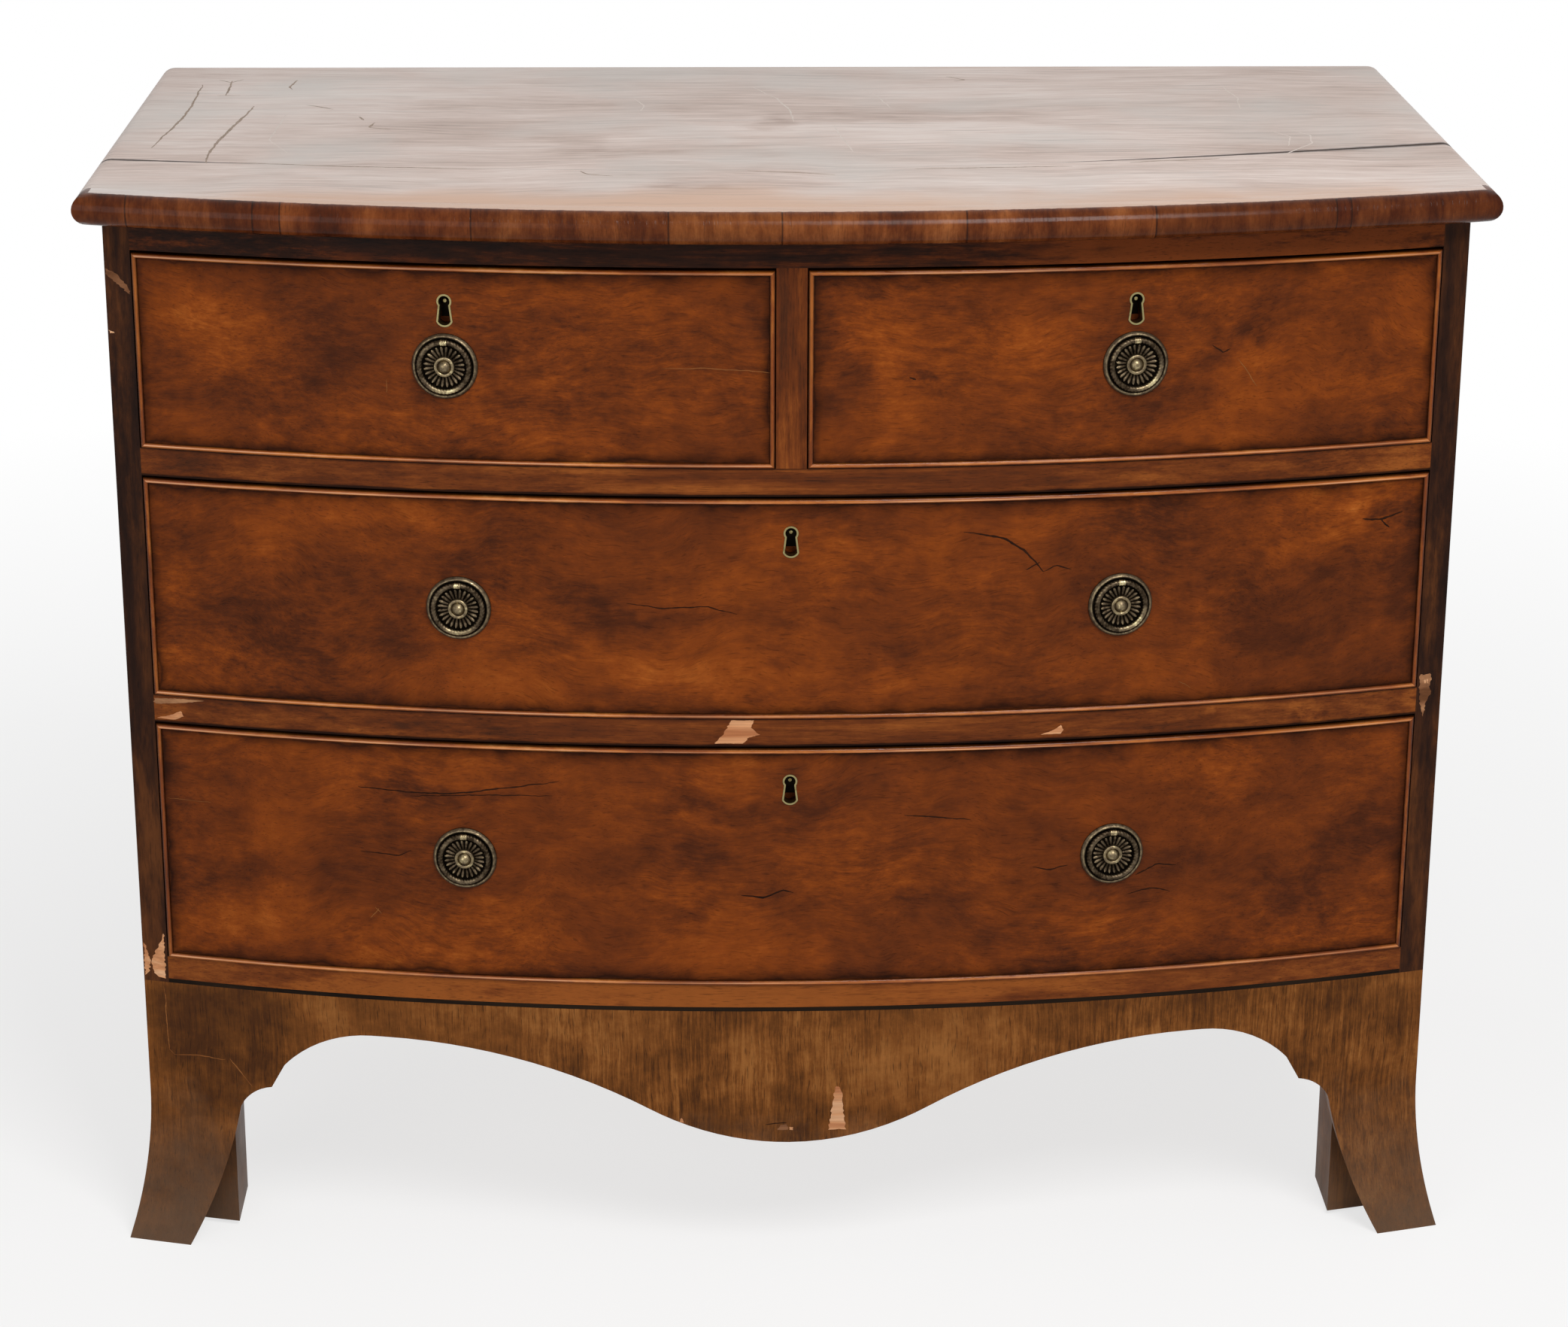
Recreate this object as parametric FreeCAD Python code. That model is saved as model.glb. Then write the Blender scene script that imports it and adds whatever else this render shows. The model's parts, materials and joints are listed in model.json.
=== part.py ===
import FreeCAD, Part
import math
import os

# Bow front chest of drawers, about 1810 to 1820 in style: two short drawers over two long ones.
#
# The carcass is mahogany over pine. Every front surface lies on one upright cylinder, the bow, or on
# a cylinder about the same axis. Drawers are dovetailed, run on strips glued to dustboards, and close
# against stops. Sizes are in millimetres. X runs to the viewer's right, Y runs to the back and Z is
# up. The origin is on the floor, at the centre of the chest's overall width and depth.

Vec = FreeCAD.Vector

# ---- Driving dimensions ------------------------------------------------------------------------
# Carcass
carcass_width = 1010.0          # over the two side boards
carcass_depth = 486.0           # from the front corners to the back
bow_rise = 70.0                 # how far the middle of the front stands ahead of its corners
side_thickness = 20.0
facing_thickness = 5.0          # mahogany strip on the front edge of each side board
rail_reach = 40.0               # how far the rails run back behind the front corners
tenon_length = 8.0              # how far the rails are housed in the side boards
dustboard_thickness = 8.0
groove_depth = 6.0              # grooves for dustboards, in the sides and rails
runner_width = 24.0
middle_runner_width = 60.0
back_board_thickness = 10.0
back_board_count = 5
back_board_gap = 0.8
muntin_width = 22.6             # upright between the two short drawers
muntin_tenon = 8.0
muntin_tenon_thickness = 9.0

# Heights, from the floor up
foot_height = 218.0
string_height = 3.5             # black line between the base and the bottom rail
string_depth = 3.0
bottom_rail_height = 22.0       # the black line is let into it
bottom_opening = 196.0
lower_rail_height = 22.0
middle_opening = 174.0
upper_rail_height = 21.5
top_opening = 150.5
top_rail_height = 22.0

# Top
top_thickness = 24.0
top_side_overhang = 17.5
top_front_overhang = 32.0
lipping_depth = 26.0            # cross-grained piece along the front edge of the top

# Base: apron and splayed bracket feet. A reach is measured inwards from the carcass corner.
bracket_thickness = 20.0
splay = 20.5                    # how far a foot kicks out at the floor
splay_height = 125.0            # where the kick starts
drop_height = 106.5             # lowest point of the apron, at the middle
drop_radius = 225.0
arch_height = 187.0
arch_reach = 190.0
arch_flat = 10.0
kink_reach, kink_height = 110.0, 156.0
cusp_reach, cusp_height = 99.0, 136.0
knee_reach, knee_height = 73.5, 117.0
toe_reach = 29.5
knee_bulge = 4.0                # how far the curve from cusp to knee stands off its chord
leg_bulge = 5.0                 # the same for the long curve from knee to toe
ear_joint_height = 160.0        # level part of the joint between apron and foot
ear_joint_reach = 67.0
ear_joint_end_reach = 84.0
foot_block_size = 45.0
foot_block_lift = 4.0
back_bracket_top_reach = 130.0
back_bracket_toe_reach = 62.0

# Drawers
drawer_side_clearance = 0.8
drawer_under_clearance = 0.3
drawer_over_clearance = 1.8
front_thickness = 24.0
drawer_side_thickness = 10.0
drawer_back_thickness = 10.0
drawer_rear_clearance = 8.0     # between a drawer and the back boards
side_drop = 5.0                 # drawer sides stop this far below the top of the front
back_drop = 8.0
bottom_thickness = 6.0
bottom_lift = 8.0               # drawer bottom above the lower edge of the drawer sides
bottom_groove = 5.0
bearer_width = 42.0             # bar under the middle of a long drawer's bottom
bearer_thickness = 12.0
dovetail_lap = 9.0              # wood left between the tails and the face of the front
dovetail_slope = 1 / 7
dovetail_pitch = 36.0
bead_width = 4.0
bead_depth = 6.0                # below the face of the front
bead_projection = 2.2
stop_length, stop_width, stop_height = 42.0, 12.0, 5.0
stop_inset = 95.0               # from the end of an opening to the middle of a stop
stop_clearance = 0.3

# Lock, at the middle of a drawer's width
lock_width, lock_height, lock_depth = 56.0, 40.0, 12.0
selvedge_width, selvedge_thickness = 66.0, 2.0
bolt_width, bolt_thickness, bolt_height = 16.0, 5.0, 20.0
bolt_clearance = 0.2
bolt_travel = 6.0
mortise_margin = 1.5
keyhole_drop = 28.0             # round part of the keyhole below the top of the opening
lock_pin_radius = 1.3
lock_pin_setback = 3.0          # from the face of the drawer to the tip of the pin
escutcheon_radius = 5.5
escutcheon_waist = 4.5          # half width where round head meets skirt
escutcheon_skirt = 6.0          # half width at the foot of the skirt
escutcheon_skirt_drop = 15.0
escutcheon_foot_drop = 19.0
escutcheon_wall = 1.3
escutcheon_depth = 10.0
escutcheon_projection = 0.6

# Ring handle. A height is measured out from the face of the drawer.
handle_spacing = 494.0          # between the two handles of a long drawer
short_handle_spacing = 505.0    # between the handles, and the locks, of the two short drawers
short_handle_lift = -1.0        # middle of the handle above the middle of its opening
middle_handle_lift = -3.0
bottom_handle_lift = 3.0
plate_radius = 24.5
plate_edge_height = 1.0
rim_crest_radius = 22.4         # crest of the round border
rim_crest_height = 3.2
rim_inner_radius = 20.7
channel_height = 1.3            # floor that the ring lies over
rosette_radius = 15.2           # dished disc inside the channel
rosette_crest_radius = 14.3
rosette_crest_height = 3.6
rosette_inner_height = 2.6
collar_radius = 7.7
collar_height = 4.8
button_radius = 4.6
button_height = 7.0
ring_radius = 18.5
ring_wire_radius = 1.9
ring_height = 4.0               # centre of the ring's wire above the drawer's face
ring_pin_radius = 1.5
ring_side_clearance = 0.3       # between the knuckle and the ring on either side of it
pin_clearance = 0.05
knuckle_width = 5.0
knuckle_radius = 2.4
shank_radius = 1.7
shank_clearance = 0.2
shank_tail = 8.0                # threaded end that stands out inside the drawer
nut_size, nut_thickness = 9.0, 3.0
nut_clearance = 0.05

# ---- Sizes that follow --------------------------------------------------------------------------
half_width = carcass_width / 2
inner_half = half_width - side_thickness
bow_radius = (half_width ** 2 + bow_rise ** 2) / (2 * bow_rise)
corner_y = -(carcass_depth - bow_rise - top_front_overhang) / 2
back_y = corner_y + carcass_depth
bow_axis_y = corner_y + bow_radius - bow_rise
face_y = bow_axis_y - bow_radius            # the middle of the bow
rail_back_y = corner_y + rail_reach
back_board_y = back_y - back_board_thickness
side_front_y = corner_y + facing_thickness

bottom_rail_top = foot_height + bottom_rail_height
lower_rail_bottom = bottom_rail_top + bottom_opening
lower_rail_top = lower_rail_bottom + lower_rail_height
upper_rail_bottom = lower_rail_top + middle_opening
upper_rail_top = upper_rail_bottom + upper_rail_height
top_rail_bottom = upper_rail_top + top_opening
top_underside = top_rail_bottom + top_rail_height
overall_height = top_underside + top_thickness

top_half_width = half_width + top_side_overhang
top_radius = bow_radius + top_front_overhang
splay_radius = (splay_height ** 2 + splay ** 2) / (2 * splay)
toe_inner_x = half_width - toe_reach
front_inner_radius = bow_radius - front_thickness
beyond = 60.0                               # how far cutting shapes run past what they cut
muntin_half = muntin_width / 2
NOSE_ARCS = 4                               # arcs that draw the half-round nose of a bead
ring_end_x = knuckle_width / 2 + ring_side_clearance
ring_pin_height = math.sqrt(ring_radius ** 2 - ring_end_x ** 2)   # above the middle of the plate

DRAWERS = {                                 # opening: left, right, bottom, top
    "upper_left": (-inner_half, -muntin_half, upper_rail_top, top_rail_bottom),
    "upper_right": (muntin_half, inner_half, upper_rail_top, top_rail_bottom),
    "middle": (-inner_half, inner_half, lower_rail_top, upper_rail_bottom),
    "bottom": (-inner_half, inner_half, bottom_rail_top, lower_rail_bottom),
}


# ---- Shapes that several pieces use -------------------------------------------------------------
def box(x0, x1, y0, y1, z0, z1):
    return Part.makeBox(x1 - x0, y1 - y0, z1 - z0, Vec(x0, y0, z0))


def bow_y(x, radius=bow_radius):
    """Y of the bow at x, on a cylinder of that radius about the bow's axis."""
    return bow_axis_y - math.sqrt(radius ** 2 - x ** 2)


def bow_arc(x0, x1, radius, z):
    middle = (x0 + x1) / 2
    ends = [Vec(x, bow_y(x, radius), z) for x in (x0, middle, x1)]
    return Part.Arc(*ends).toShape()


def bowed_plate(x0, x1, outer, inner, z0, z1):
    """A plate bent to the bow, between two radii, with its ends square across the chest."""
    edges = [
        bow_arc(x0, x1, outer, z0),
        Part.makeLine(Vec(x1, bow_y(x1, outer), z0), Vec(x1, bow_y(x1, inner), z0)),
        bow_arc(x1, x0, inner, z0),
        Part.makeLine(Vec(x0, bow_y(x0, inner), z0), Vec(x0, bow_y(x0, outer), z0)),
    ]
    return Part.Face(Part.Wire(edges)).extrude(Vec(0, 0, z1 - z0))


def bow_fronted_board(x0, x1, radius, y_back, z0, z1):
    """A level board whose front edge follows the bow and whose back edge is straight."""
    edges = [
        bow_arc(x0, x1, radius, z0),
        Part.makeLine(Vec(x1, bow_y(x1, radius), z0), Vec(x1, y_back, z0)),
        Part.makeLine(Vec(x1, y_back, z0), Vec(x0, y_back, z0)),
        Part.makeLine(Vec(x0, y_back, z0), Vec(x0, bow_y(x0, radius), z0)),
    ]
    return Part.Face(Part.Wire(edges)).extrude(Vec(0, 0, z1 - z0))


def turned_to(shape, x):
    """A copy of a shape built at the middle of the bow, swung about the bow's axis to stand at x."""
    moved = shape.copy()
    angle = math.degrees(math.asin(x / bow_radius))
    moved.rotate(Vec(0, bow_axis_y, 0), Vec(0, 0, 1), angle)
    return moved


def mirrored(shape):
    return shape.mirror(Vec(0, 0, 0), Vec(1, 0, 0))


def prism_along_y(points, y0, y1):
    """Points (x, z) of a closed outline, drawn out from y0 to y1."""
    corners = [Vec(x, y0, z) for x, z in points]
    return Part.Face(Part.makePolygon(corners + corners[:1])).extrude(Vec(0, y1 - y0, 0))


def revolved_about_bow(face, half_angle):
    """A face drawn in the plane x = 0, swept both ways about the bow's axis."""
    start = face.copy()
    start.rotate(Vec(0, bow_axis_y, 0), Vec(0, 0, 1), -half_angle)
    return start.revolve(Vec(0, bow_axis_y, 0), Vec(0, 0, 1), 2 * half_angle)


def bow_cylinder(radius, z0, z1):
    return Part.makeCylinder(radius, z1 - z0, Vec(0, bow_axis_y, z0))


def save(name, *solids):
    """Writes the solids of one named piece to one file."""
    found = [s for shape in solids for s in shape.Solids]
    shape = found[0] if len(found) == 1 else Part.makeCompound(found)
    shape.exportStep(os.path.join("parts", name + ".step"))


# ---- Top ----------------------------------------------------------------------------------------
def top_pieces():
    """The top with a half-round edge on its front and sides, as a board and its front lipping."""
    r = top_thickness / 2
    z0, z1, zm = top_underside, overall_height, top_underside + r
    front = bow_axis_y - top_radius
    back = back_y + beyond
    profile = Part.Wire([
        Part.makeLine(Vec(0, back, z0), Vec(0, front + r, z0)),
        Part.Arc(Vec(0, front + r, z0), Vec(0, front, zm), Vec(0, front + r, z1)).toShape(),
        Part.makeLine(Vec(0, front + r, z1), Vec(0, back, z1)),
        Part.makeLine(Vec(0, back, z1), Vec(0, back, z0)),
    ])
    corner_angle = math.degrees(math.atan2(top_half_width + beyond, bow_axis_y - back))
    bowed = revolved_about_bow(Part.Face(profile), corner_angle)
    w = top_half_width
    across = Part.Wire([
        Part.makeLine(Vec(-w + r, front - beyond, z0), Vec(w - r, front - beyond, z0)),
        Part.Arc(*[Vec(x, front - beyond, z) for x, z in ((w - r, z0), (w, zm), (w - r, z1))]).toShape(),
        Part.makeLine(Vec(w - r, front - beyond, z1), Vec(-w + r, front - beyond, z1)),
        Part.Arc(*[Vec(x, front - beyond, z) for x, z in ((-w + r, z1), (-w, zm), (-w + r, z0))]).toShape(),
    ])
    slab = Part.Face(across).extrude(Vec(0, back_y - front + beyond, 0))
    whole = bowed.common(slab)
    inside = bow_cylinder(top_radius - lipping_depth, z0 - 1, z1 + 1)
    save("top_board", whole.common(inside))
    save("top_lipping", whole.cut(inside))


# ---- Carcass ------------------------------------------------------------------------------------
def dustboard_levels():
    """Middle heights of the dustboards: one behind each rail that carries drawers."""
    return {
        "bottom": (foot_height + bottom_rail_top) / 2,
        "lower": (lower_rail_bottom + lower_rail_top) / 2,
        "upper": (upper_rail_bottom + upper_rail_top) / 2,
    }


def dustboard(middle):
    reach = inner_half + groove_depth
    half = dustboard_thickness / 2
    return box(-reach, reach, rail_back_y - groove_depth, back_board_y, middle - half, middle + half)


def lock_mortise(x, z_top):
    """Pocket in the underside of a rail that the bolt of the lock below rises into."""
    middle = face_y + front_thickness - lock_depth / 2
    half_w = bolt_width / 2 + mortise_margin
    half_t = bolt_thickness / 2 + mortise_margin
    depth = bolt_travel + mortise_margin
    pocket = box(-half_w, half_w, middle - half_t, middle + half_t, z_top - 1, z_top + depth)
    return turned_to(pocket, x)


def rail(z0, z1):
    """A rail across the front, housed in both side boards behind their facings."""
    body = bow_fronted_board(-inner_half, inner_half, bow_radius, rail_back_y, z0, z1)
    for side in (-1, 1):
        ends = sorted((side * inner_half, side * (inner_half + tenon_length)))
        body = body.fuse(box(ends[0], ends[1], side_front_y, rail_back_y, z0, z1))
    return body.removeSplitter()


def muntin_tenon_block(z0, z1):
    half = muntin_tenon_thickness / 2
    return box(-half, half, face_y + front_thickness, rail_back_y - muntin_tenon, z0, z1)


def rails():
    levels = dustboard_levels()
    bottom = rail(foot_height, bottom_rail_top)
    string = bowed_plate(-inner_half, inner_half, bow_radius, bow_radius - string_depth,
                         foot_height, foot_height + string_height)
    save("bottom_rail", bottom.cut(string).cut(dustboard(levels["bottom"])))
    save("base_string", string)

    lower = rail(lower_rail_bottom, lower_rail_top).cut(dustboard(levels["lower"]))
    save("lower_rail", lower.cut(lock_mortise(0, lower_rail_bottom)))

    upper = rail(upper_rail_bottom, upper_rail_top).cut(dustboard(levels["upper"]))
    upper = upper.cut(muntin_tenon_block(upper_rail_top - muntin_tenon, upper_rail_top))
    save("upper_rail", upper.cut(lock_mortise(0, upper_rail_bottom)))

    top = rail(top_rail_bottom, top_underside)
    top = top.cut(muntin_tenon_block(top_rail_bottom, top_rail_bottom + muntin_tenon))
    for name in ("upper_left", "upper_right"):
        top = top.cut(lock_mortise(lock_place(name), top_rail_bottom))
    save("top_rail", top)


def sides():
    """Right side board, its housings cut by what they hold, then its mirror image."""
    board = box(inner_half, half_width, side_front_y, back_y, foot_height, top_underside)
    rebate = box(inner_half, inner_half + side_thickness / 2, back_board_y, back_y + 1,
                 foot_height - 1, top_underside + 1)
    board = board.cut(rebate)
    for z0, z1 in ((foot_height, bottom_rail_top), (lower_rail_bottom, lower_rail_top),
                   (upper_rail_bottom, upper_rail_top), (top_rail_bottom, top_underside)):
        board = board.cut(box(inner_half, inner_half + tenon_length, side_front_y, rail_back_y, z0, z1))
    for middle in dustboard_levels().values():
        board = board.cut(dustboard(middle))
    facing = bow_fronted_board(inner_half, half_width, bow_radius, side_front_y,
                               foot_height, top_underside)
    save("right_side", board)
    save("left_side", mirrored(board))
    save("side_facings", mirrored(facing), facing)


def dustboards():
    save("dustboards", *[dustboard(middle) for middle in dustboard_levels().values()])


def runners():
    """Strips on the dustboards that the drawers run on, and kickers under the top."""
    levels = dustboard_levels()
    strips = []
    for name, rail_top in (("bottom", bottom_rail_top), ("lower", lower_rail_top),
                           ("upper", upper_rail_top)):
        z0 = levels[name] + dustboard_thickness / 2
        right = box(inner_half - runner_width, inner_half, rail_back_y, back_board_y, z0, rail_top)
        strips += [mirrored(right), right]
    half = middle_runner_width / 2
    z0 = levels["upper"] + dustboard_thickness / 2
    strips.append(box(-half, half, rail_back_y, back_board_y, z0, upper_rail_top))
    kicker = box(inner_half - runner_width, inner_half, rail_back_y, back_board_y,
                 top_rail_bottom, top_underside)
    save("drawer_runners", *strips, mirrored(kicker), kicker)


def partition():
    """Upright between the short drawers: a front muntin and the board that guides the drawers."""
    front = bow_fronted_board(-muntin_half, muntin_half, bow_radius, rail_back_y,
                              upper_rail_top, top_rail_bottom)
    front = front.fuse(muntin_tenon_block(upper_rail_top - muntin_tenon, upper_rail_top))
    front = front.fuse(muntin_tenon_block(top_rail_bottom, top_rail_bottom + muntin_tenon))
    save("muntin", front.removeSplitter())
    save("partition", box(-muntin_half, muntin_half, rail_back_y, back_board_y,
                          upper_rail_top, top_underside))


def back_boards():
    reach = inner_half + side_thickness / 2
    pitch = (2 * reach + back_board_gap) / back_board_count
    boards = []
    for i in range(back_board_count):
        x0 = -reach + i * pitch
        boards.append(box(x0, x0 + pitch - back_board_gap, back_board_y, back_y,
                          foot_height, top_underside))
    save("back_boards", *boards)


def drawer_stops():
    """Blocks glued on the rails, which the inside of each drawer front meets when it is shut."""
    blocks = []
    outer = front_inner_radius - stop_clearance
    for left, right, z0, z1 in DRAWERS.values():
        for x in (left + stop_inset, right - stop_inset):
            block = box(-stop_length / 2, stop_length / 2, bow_axis_y - outer,
                        bow_axis_y - outer + stop_width, z0, z0 + stop_height)
            blocks.append(turned_to(block, x))
    save("drawer_stops", *blocks)


# ---- Base ---------------------------------------------------------------------------------------
def splay_at(z):
    """How far a foot stands out of the carcass at height z."""
    below = max(0.0, splay_height - z)
    return splay_radius - math.sqrt(splay_radius ** 2 - below ** 2)


def splayed_face(place, inner, outer):
    """Upright section of a splayed board between two distances; place(d, z) puts a point in space."""
    middle = splay_height / 2

    def curve(d, low, high):
        return Part.Arc(*[place(d + splay_at(z), z) for z in (low, middle, high)]).toShape()

    return Part.Face(Part.Wire([
        Part.makeLine(place(outer, foot_height), place(outer, splay_height)),
        curve(outer, splay_height, 0),
        Part.makeLine(place(outer + splay, 0), place(inner + splay, 0)),
        curve(inner, 0, splay_height),
        Part.makeLine(place(inner, splay_height), place(inner, foot_height)),
        Part.makeLine(place(inner, foot_height), place(outer, foot_height)),
    ]))


def front_skirt(inner, outer):
    """Solid between two splayed surfaces that run round the bow."""
    face = splayed_face(lambda d, z: Vec(0, bow_axis_y - d, z), inner, outer)
    angle = math.degrees(math.asin((half_width + splay + beyond) / (bow_radius + splay)))
    return revolved_about_bow(face, angle)


def side_skirt(inner, outer):
    """Solid between two splayed surfaces that run front to back on the right."""
    start = corner_y - bow_rise - splay
    face = splayed_face(lambda d, z: Vec(d, start, z), inner, outer)
    return face.extrude(Vec(0, back_y - start, 0))


def bulged(a, b, bulge):
    """Arc from a to b, points (reach, z), standing off its chord to the left by bulge."""
    (x0, z0), (x1, z1) = a, b
    length = math.hypot(x1 - x0, z1 - z0)
    mx = (x0 + x1) / 2 - (z1 - z0) / length * bulge
    mz = (z0 + z1) / 2 + (x1 - x0) / length * bulge
    return (x0, z0), (mx, mz), (x1, z1)


def bracket_curve():
    """Shaped lower edge from the top of the arch to the toe, as arcs and lines of (reach, z)."""
    flat_end = arch_reach - arch_flat
    run, fall = flat_end - kink_reach, arch_height - kink_height
    radius = (run ** 2 + fall ** 2) / (2 * fall)
    half_run = run / 2
    crown = (flat_end - half_run, arch_height - radius + math.sqrt(radius ** 2 - half_run ** 2))
    return [
        ((arch_reach, arch_height), (flat_end, arch_height)),
        ((flat_end, arch_height), crown, (kink_reach, kink_height)),
        ((kink_reach, kink_height), (cusp_reach, cusp_height)),
        bulged((cusp_reach, cusp_height), (knee_reach, knee_height), -knee_bulge),
        bulged((knee_reach, knee_height), (toe_reach, 0), leg_bulge),
    ]


def edges_from(curve, place):
    """Edges of a curve of (reach, z) points, each put in space by place."""
    made = []
    for points in curve:
        places = [place(reach, z) for reach, z in points]
        made.append(Part.Arc(*places).toShape() if len(places) == 3 else Part.makeLine(*places))
    return made


def foot_outline(place, direction):
    """Area of a foot seen square on, from its arch out past its corner, drawn out along direction."""
    corner = -2 * splay
    rest = [place(toe_reach, 0), place(corner, 0), place(corner, foot_height),
            place(arch_reach, foot_height), place(arch_reach, arch_height)]
    lines = [Part.makeLine(a, b) for a, b in zip(rest, rest[1:])]
    return Part.Face(Part.Wire(edges_from(bracket_curve(), place) + lines)).extrude(direction)


def apron_outline():
    """Area of the front between the feet, both halves, drawn out through the bow."""
    y0 = face_y - splay - beyond
    deep = Vec(0, bow_rise + rail_reach + 2 * beyond, 0)
    rise = arch_height - drop_height
    run = half_width - arch_reach
    angle = 2 * math.atan2(rise, run)
    turn_x = drop_radius * math.sin(angle)
    turn_z = drop_height + drop_radius * (1 - math.cos(angle))
    other = run / math.sin(angle) - drop_radius
    low_x, low_z = (drop_radius * math.sin(angle / 2),
                    drop_height + drop_radius * (1 - math.cos(angle / 2)))
    high_x, high_z = run - other * math.sin(angle / 2), arch_height - other * (1 - math.cos(angle / 2))
    half = [
        Part.Arc(Vec(0, y0, drop_height), Vec(low_x, y0, low_z), Vec(turn_x, y0, turn_z)).toShape(),
        Part.Arc(Vec(turn_x, y0, turn_z), Vec(high_x, y0, high_z), Vec(run, y0, arch_height)).toShape(),
        Part.makeLine(Vec(run, y0, arch_height), Vec(run, y0, foot_height)),
        Part.makeLine(Vec(run, y0, foot_height), Vec(0, y0, foot_height)),
        Part.makeLine(Vec(0, y0, foot_height), Vec(0, y0, drop_height)),
    ]
    right = Part.Face(Part.Wire(half)).extrude(deep)
    return right.fuse(mirrored(right)).removeSplitter()


def foot_share():
    """Part of the front that belongs to the right foot and not to the apron, beyond their joint."""
    run = ear_joint_end_reach - ear_joint_reach
    slope = (ear_joint_height - cusp_height) / run
    low_z = ear_joint_height - slope * 2 * run
    points = [
        (half_width - side_thickness, foot_height + 1),
        (half_width - side_thickness, ear_joint_height),
        (half_width - ear_joint_reach, ear_joint_height),
        (half_width - ear_joint_reach - 2 * run, low_z),
        (half_width - ear_joint_reach - 2 * run, -1),
        (half_width + beyond, -1),
        (half_width + beyond, foot_height + 1),
    ]
    return prism_along_y(points, face_y - splay - beyond, rail_back_y + beyond)


def base():
    """Apron, side aprons and four feet, each of two brackets with a block behind the corner."""
    skin = front_skirt(bow_radius - bracket_thickness, bow_radius)
    behind_bow = front_skirt(bow_radius - bow_rise - carcass_depth, bow_radius)
    side_skin = side_skirt(half_width - bracket_thickness, half_width)
    within_side = side_skirt(0, half_width)
    inside_side_skin = side_skirt(0, half_width - bracket_thickness)
    y0 = face_y - splay - beyond

    def on_front(reach, z):
        return Vec(half_width - reach, y0, z)

    def on_side(reach, z):
        return Vec(0, corner_y + reach, z)

    def on_back_side(reach, z):
        return Vec(0, back_y - reach, z)

    mitre = prism_down_mitre()
    front_area = foot_outline(on_front, Vec(0, rail_back_y - y0 + beyond, 0))
    front_face = skin.common(front_area).common(within_side)
    share = foot_share()
    front_bracket = front_face.common(share).common(mitre)
    ear = front_face.cut(share)
    middle = skin.common(apron_outline())
    save("apron", middle.fuse(ear).fuse(mirrored(ear)).removeSplitter())

    wide = Vec(half_width + beyond, 0, 0)
    side_area = foot_outline(on_side, wide)
    side_bracket = side_skin.common(side_area).common(behind_bow).cut(mitre)
    block_x1 = half_width - bracket_thickness
    block_back = corner_y + foot_block_size + bracket_thickness
    block = box(block_x1 - foot_block_size, block_x1, corner_y, block_back, foot_block_lift, foot_height)
    block = block.common(bow_cylinder(bow_radius - bracket_thickness, 0, foot_height))
    save("front_right_foot", front_bracket, side_bracket, block)
    save("front_left_foot", mirrored(front_bracket), mirrored(side_bracket), mirrored(block))

    back_side = side_skin.common(foot_outline(on_back_side, wide))
    top_x, toe_x = half_width - back_bracket_top_reach, half_width - back_bracket_toe_reach
    back_area = prism_along_y([(top_x, foot_height), (toe_x, 0), (half_width + beyond, 0),
                               (half_width + beyond, foot_height)], back_y - bracket_thickness, back_y)
    back_bracket = back_area.common(inside_side_skin)
    back_block = box(block_x1 - foot_block_size, block_x1, back_y - bracket_thickness - foot_block_size,
                     back_y - bracket_thickness, foot_block_lift, foot_height)
    save("back_right_foot", back_side, back_bracket, back_block)
    save("back_left_foot", mirrored(back_side), mirrored(back_bracket), mirrored(back_block))

    side_apron = box(half_width - bracket_thickness, half_width, corner_y + arch_reach,
                     back_y - arch_reach, arch_height, foot_height)
    save("side_aprons", mirrored(side_apron), side_apron)


def prism_down_mitre():
    """Everything ahead of the upright plane that mitres the two brackets of the front right foot."""
    far = carcass_depth
    points = [Vec(half_width + beyond, corner_y - beyond, -1), Vec(half_width - far, corner_y + far, -1),
              Vec(half_width - far, corner_y - far, -1), Vec(half_width + beyond, corner_y - far, -1)]
    return Part.Face(Part.makePolygon(points + points[:1])).extrude(Vec(0, 0, foot_height + 2))


# ---- Drawers ------------------------------------------------------------------------------------
def lock_place(name):
    """X of a drawer's lock. A short drawer's one handle hangs below its lock."""
    side = {"upper_left": -1, "upper_right": 1}.get(name, 0)
    return side * short_handle_spacing / 2


def drawer_box(name):
    """Outside of the drawer: left, right, bottom and top, inside its opening by the clearances."""
    left, right, z0, z1 = DRAWERS[name]
    return (left + drawer_side_clearance, right - drawer_side_clearance,
            z0 + drawer_under_clearance, z1 - drawer_over_clearance)


def bead_section(place):
    """Section of a bead with a half-round nose. place(radius, offset) puts a point in space, where
    offset is measured from the middle of the bead. The nose is drawn as a few arcs of one circle.
    """
    half = bead_width / 2
    inner, shoulder = bow_radius - bead_depth, bow_radius + bead_projection - half
    step = math.pi / NOSE_ARCS

    def on_nose(angle):
        return place(shoulder + half * math.cos(angle), half * math.sin(angle))

    edges = []
    for i in range(NOSE_ARCS):
        angle = -math.pi / 2 + i * step
        edges.append(Part.Arc(on_nose(angle), on_nose(angle + step / 2), on_nose(angle + step)).toShape())
    edges += [
        Part.makeLine(place(shoulder, half), place(inner, half)),
        Part.makeLine(place(inner, half), place(inner, -half)),
        Part.makeLine(place(inner, -half), place(shoulder, -half)),
    ]
    return Part.Face(Part.Wire(edges))


def level_bead(z):
    """A level bead whose middle is at height z, swept about the bow's axis."""
    section = bead_section(lambda radius, offset: Vec(0, bow_axis_y - radius, z + offset))
    return revolved_about_bow(section, math.degrees(math.asin(half_width / front_inner_radius)))


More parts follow.
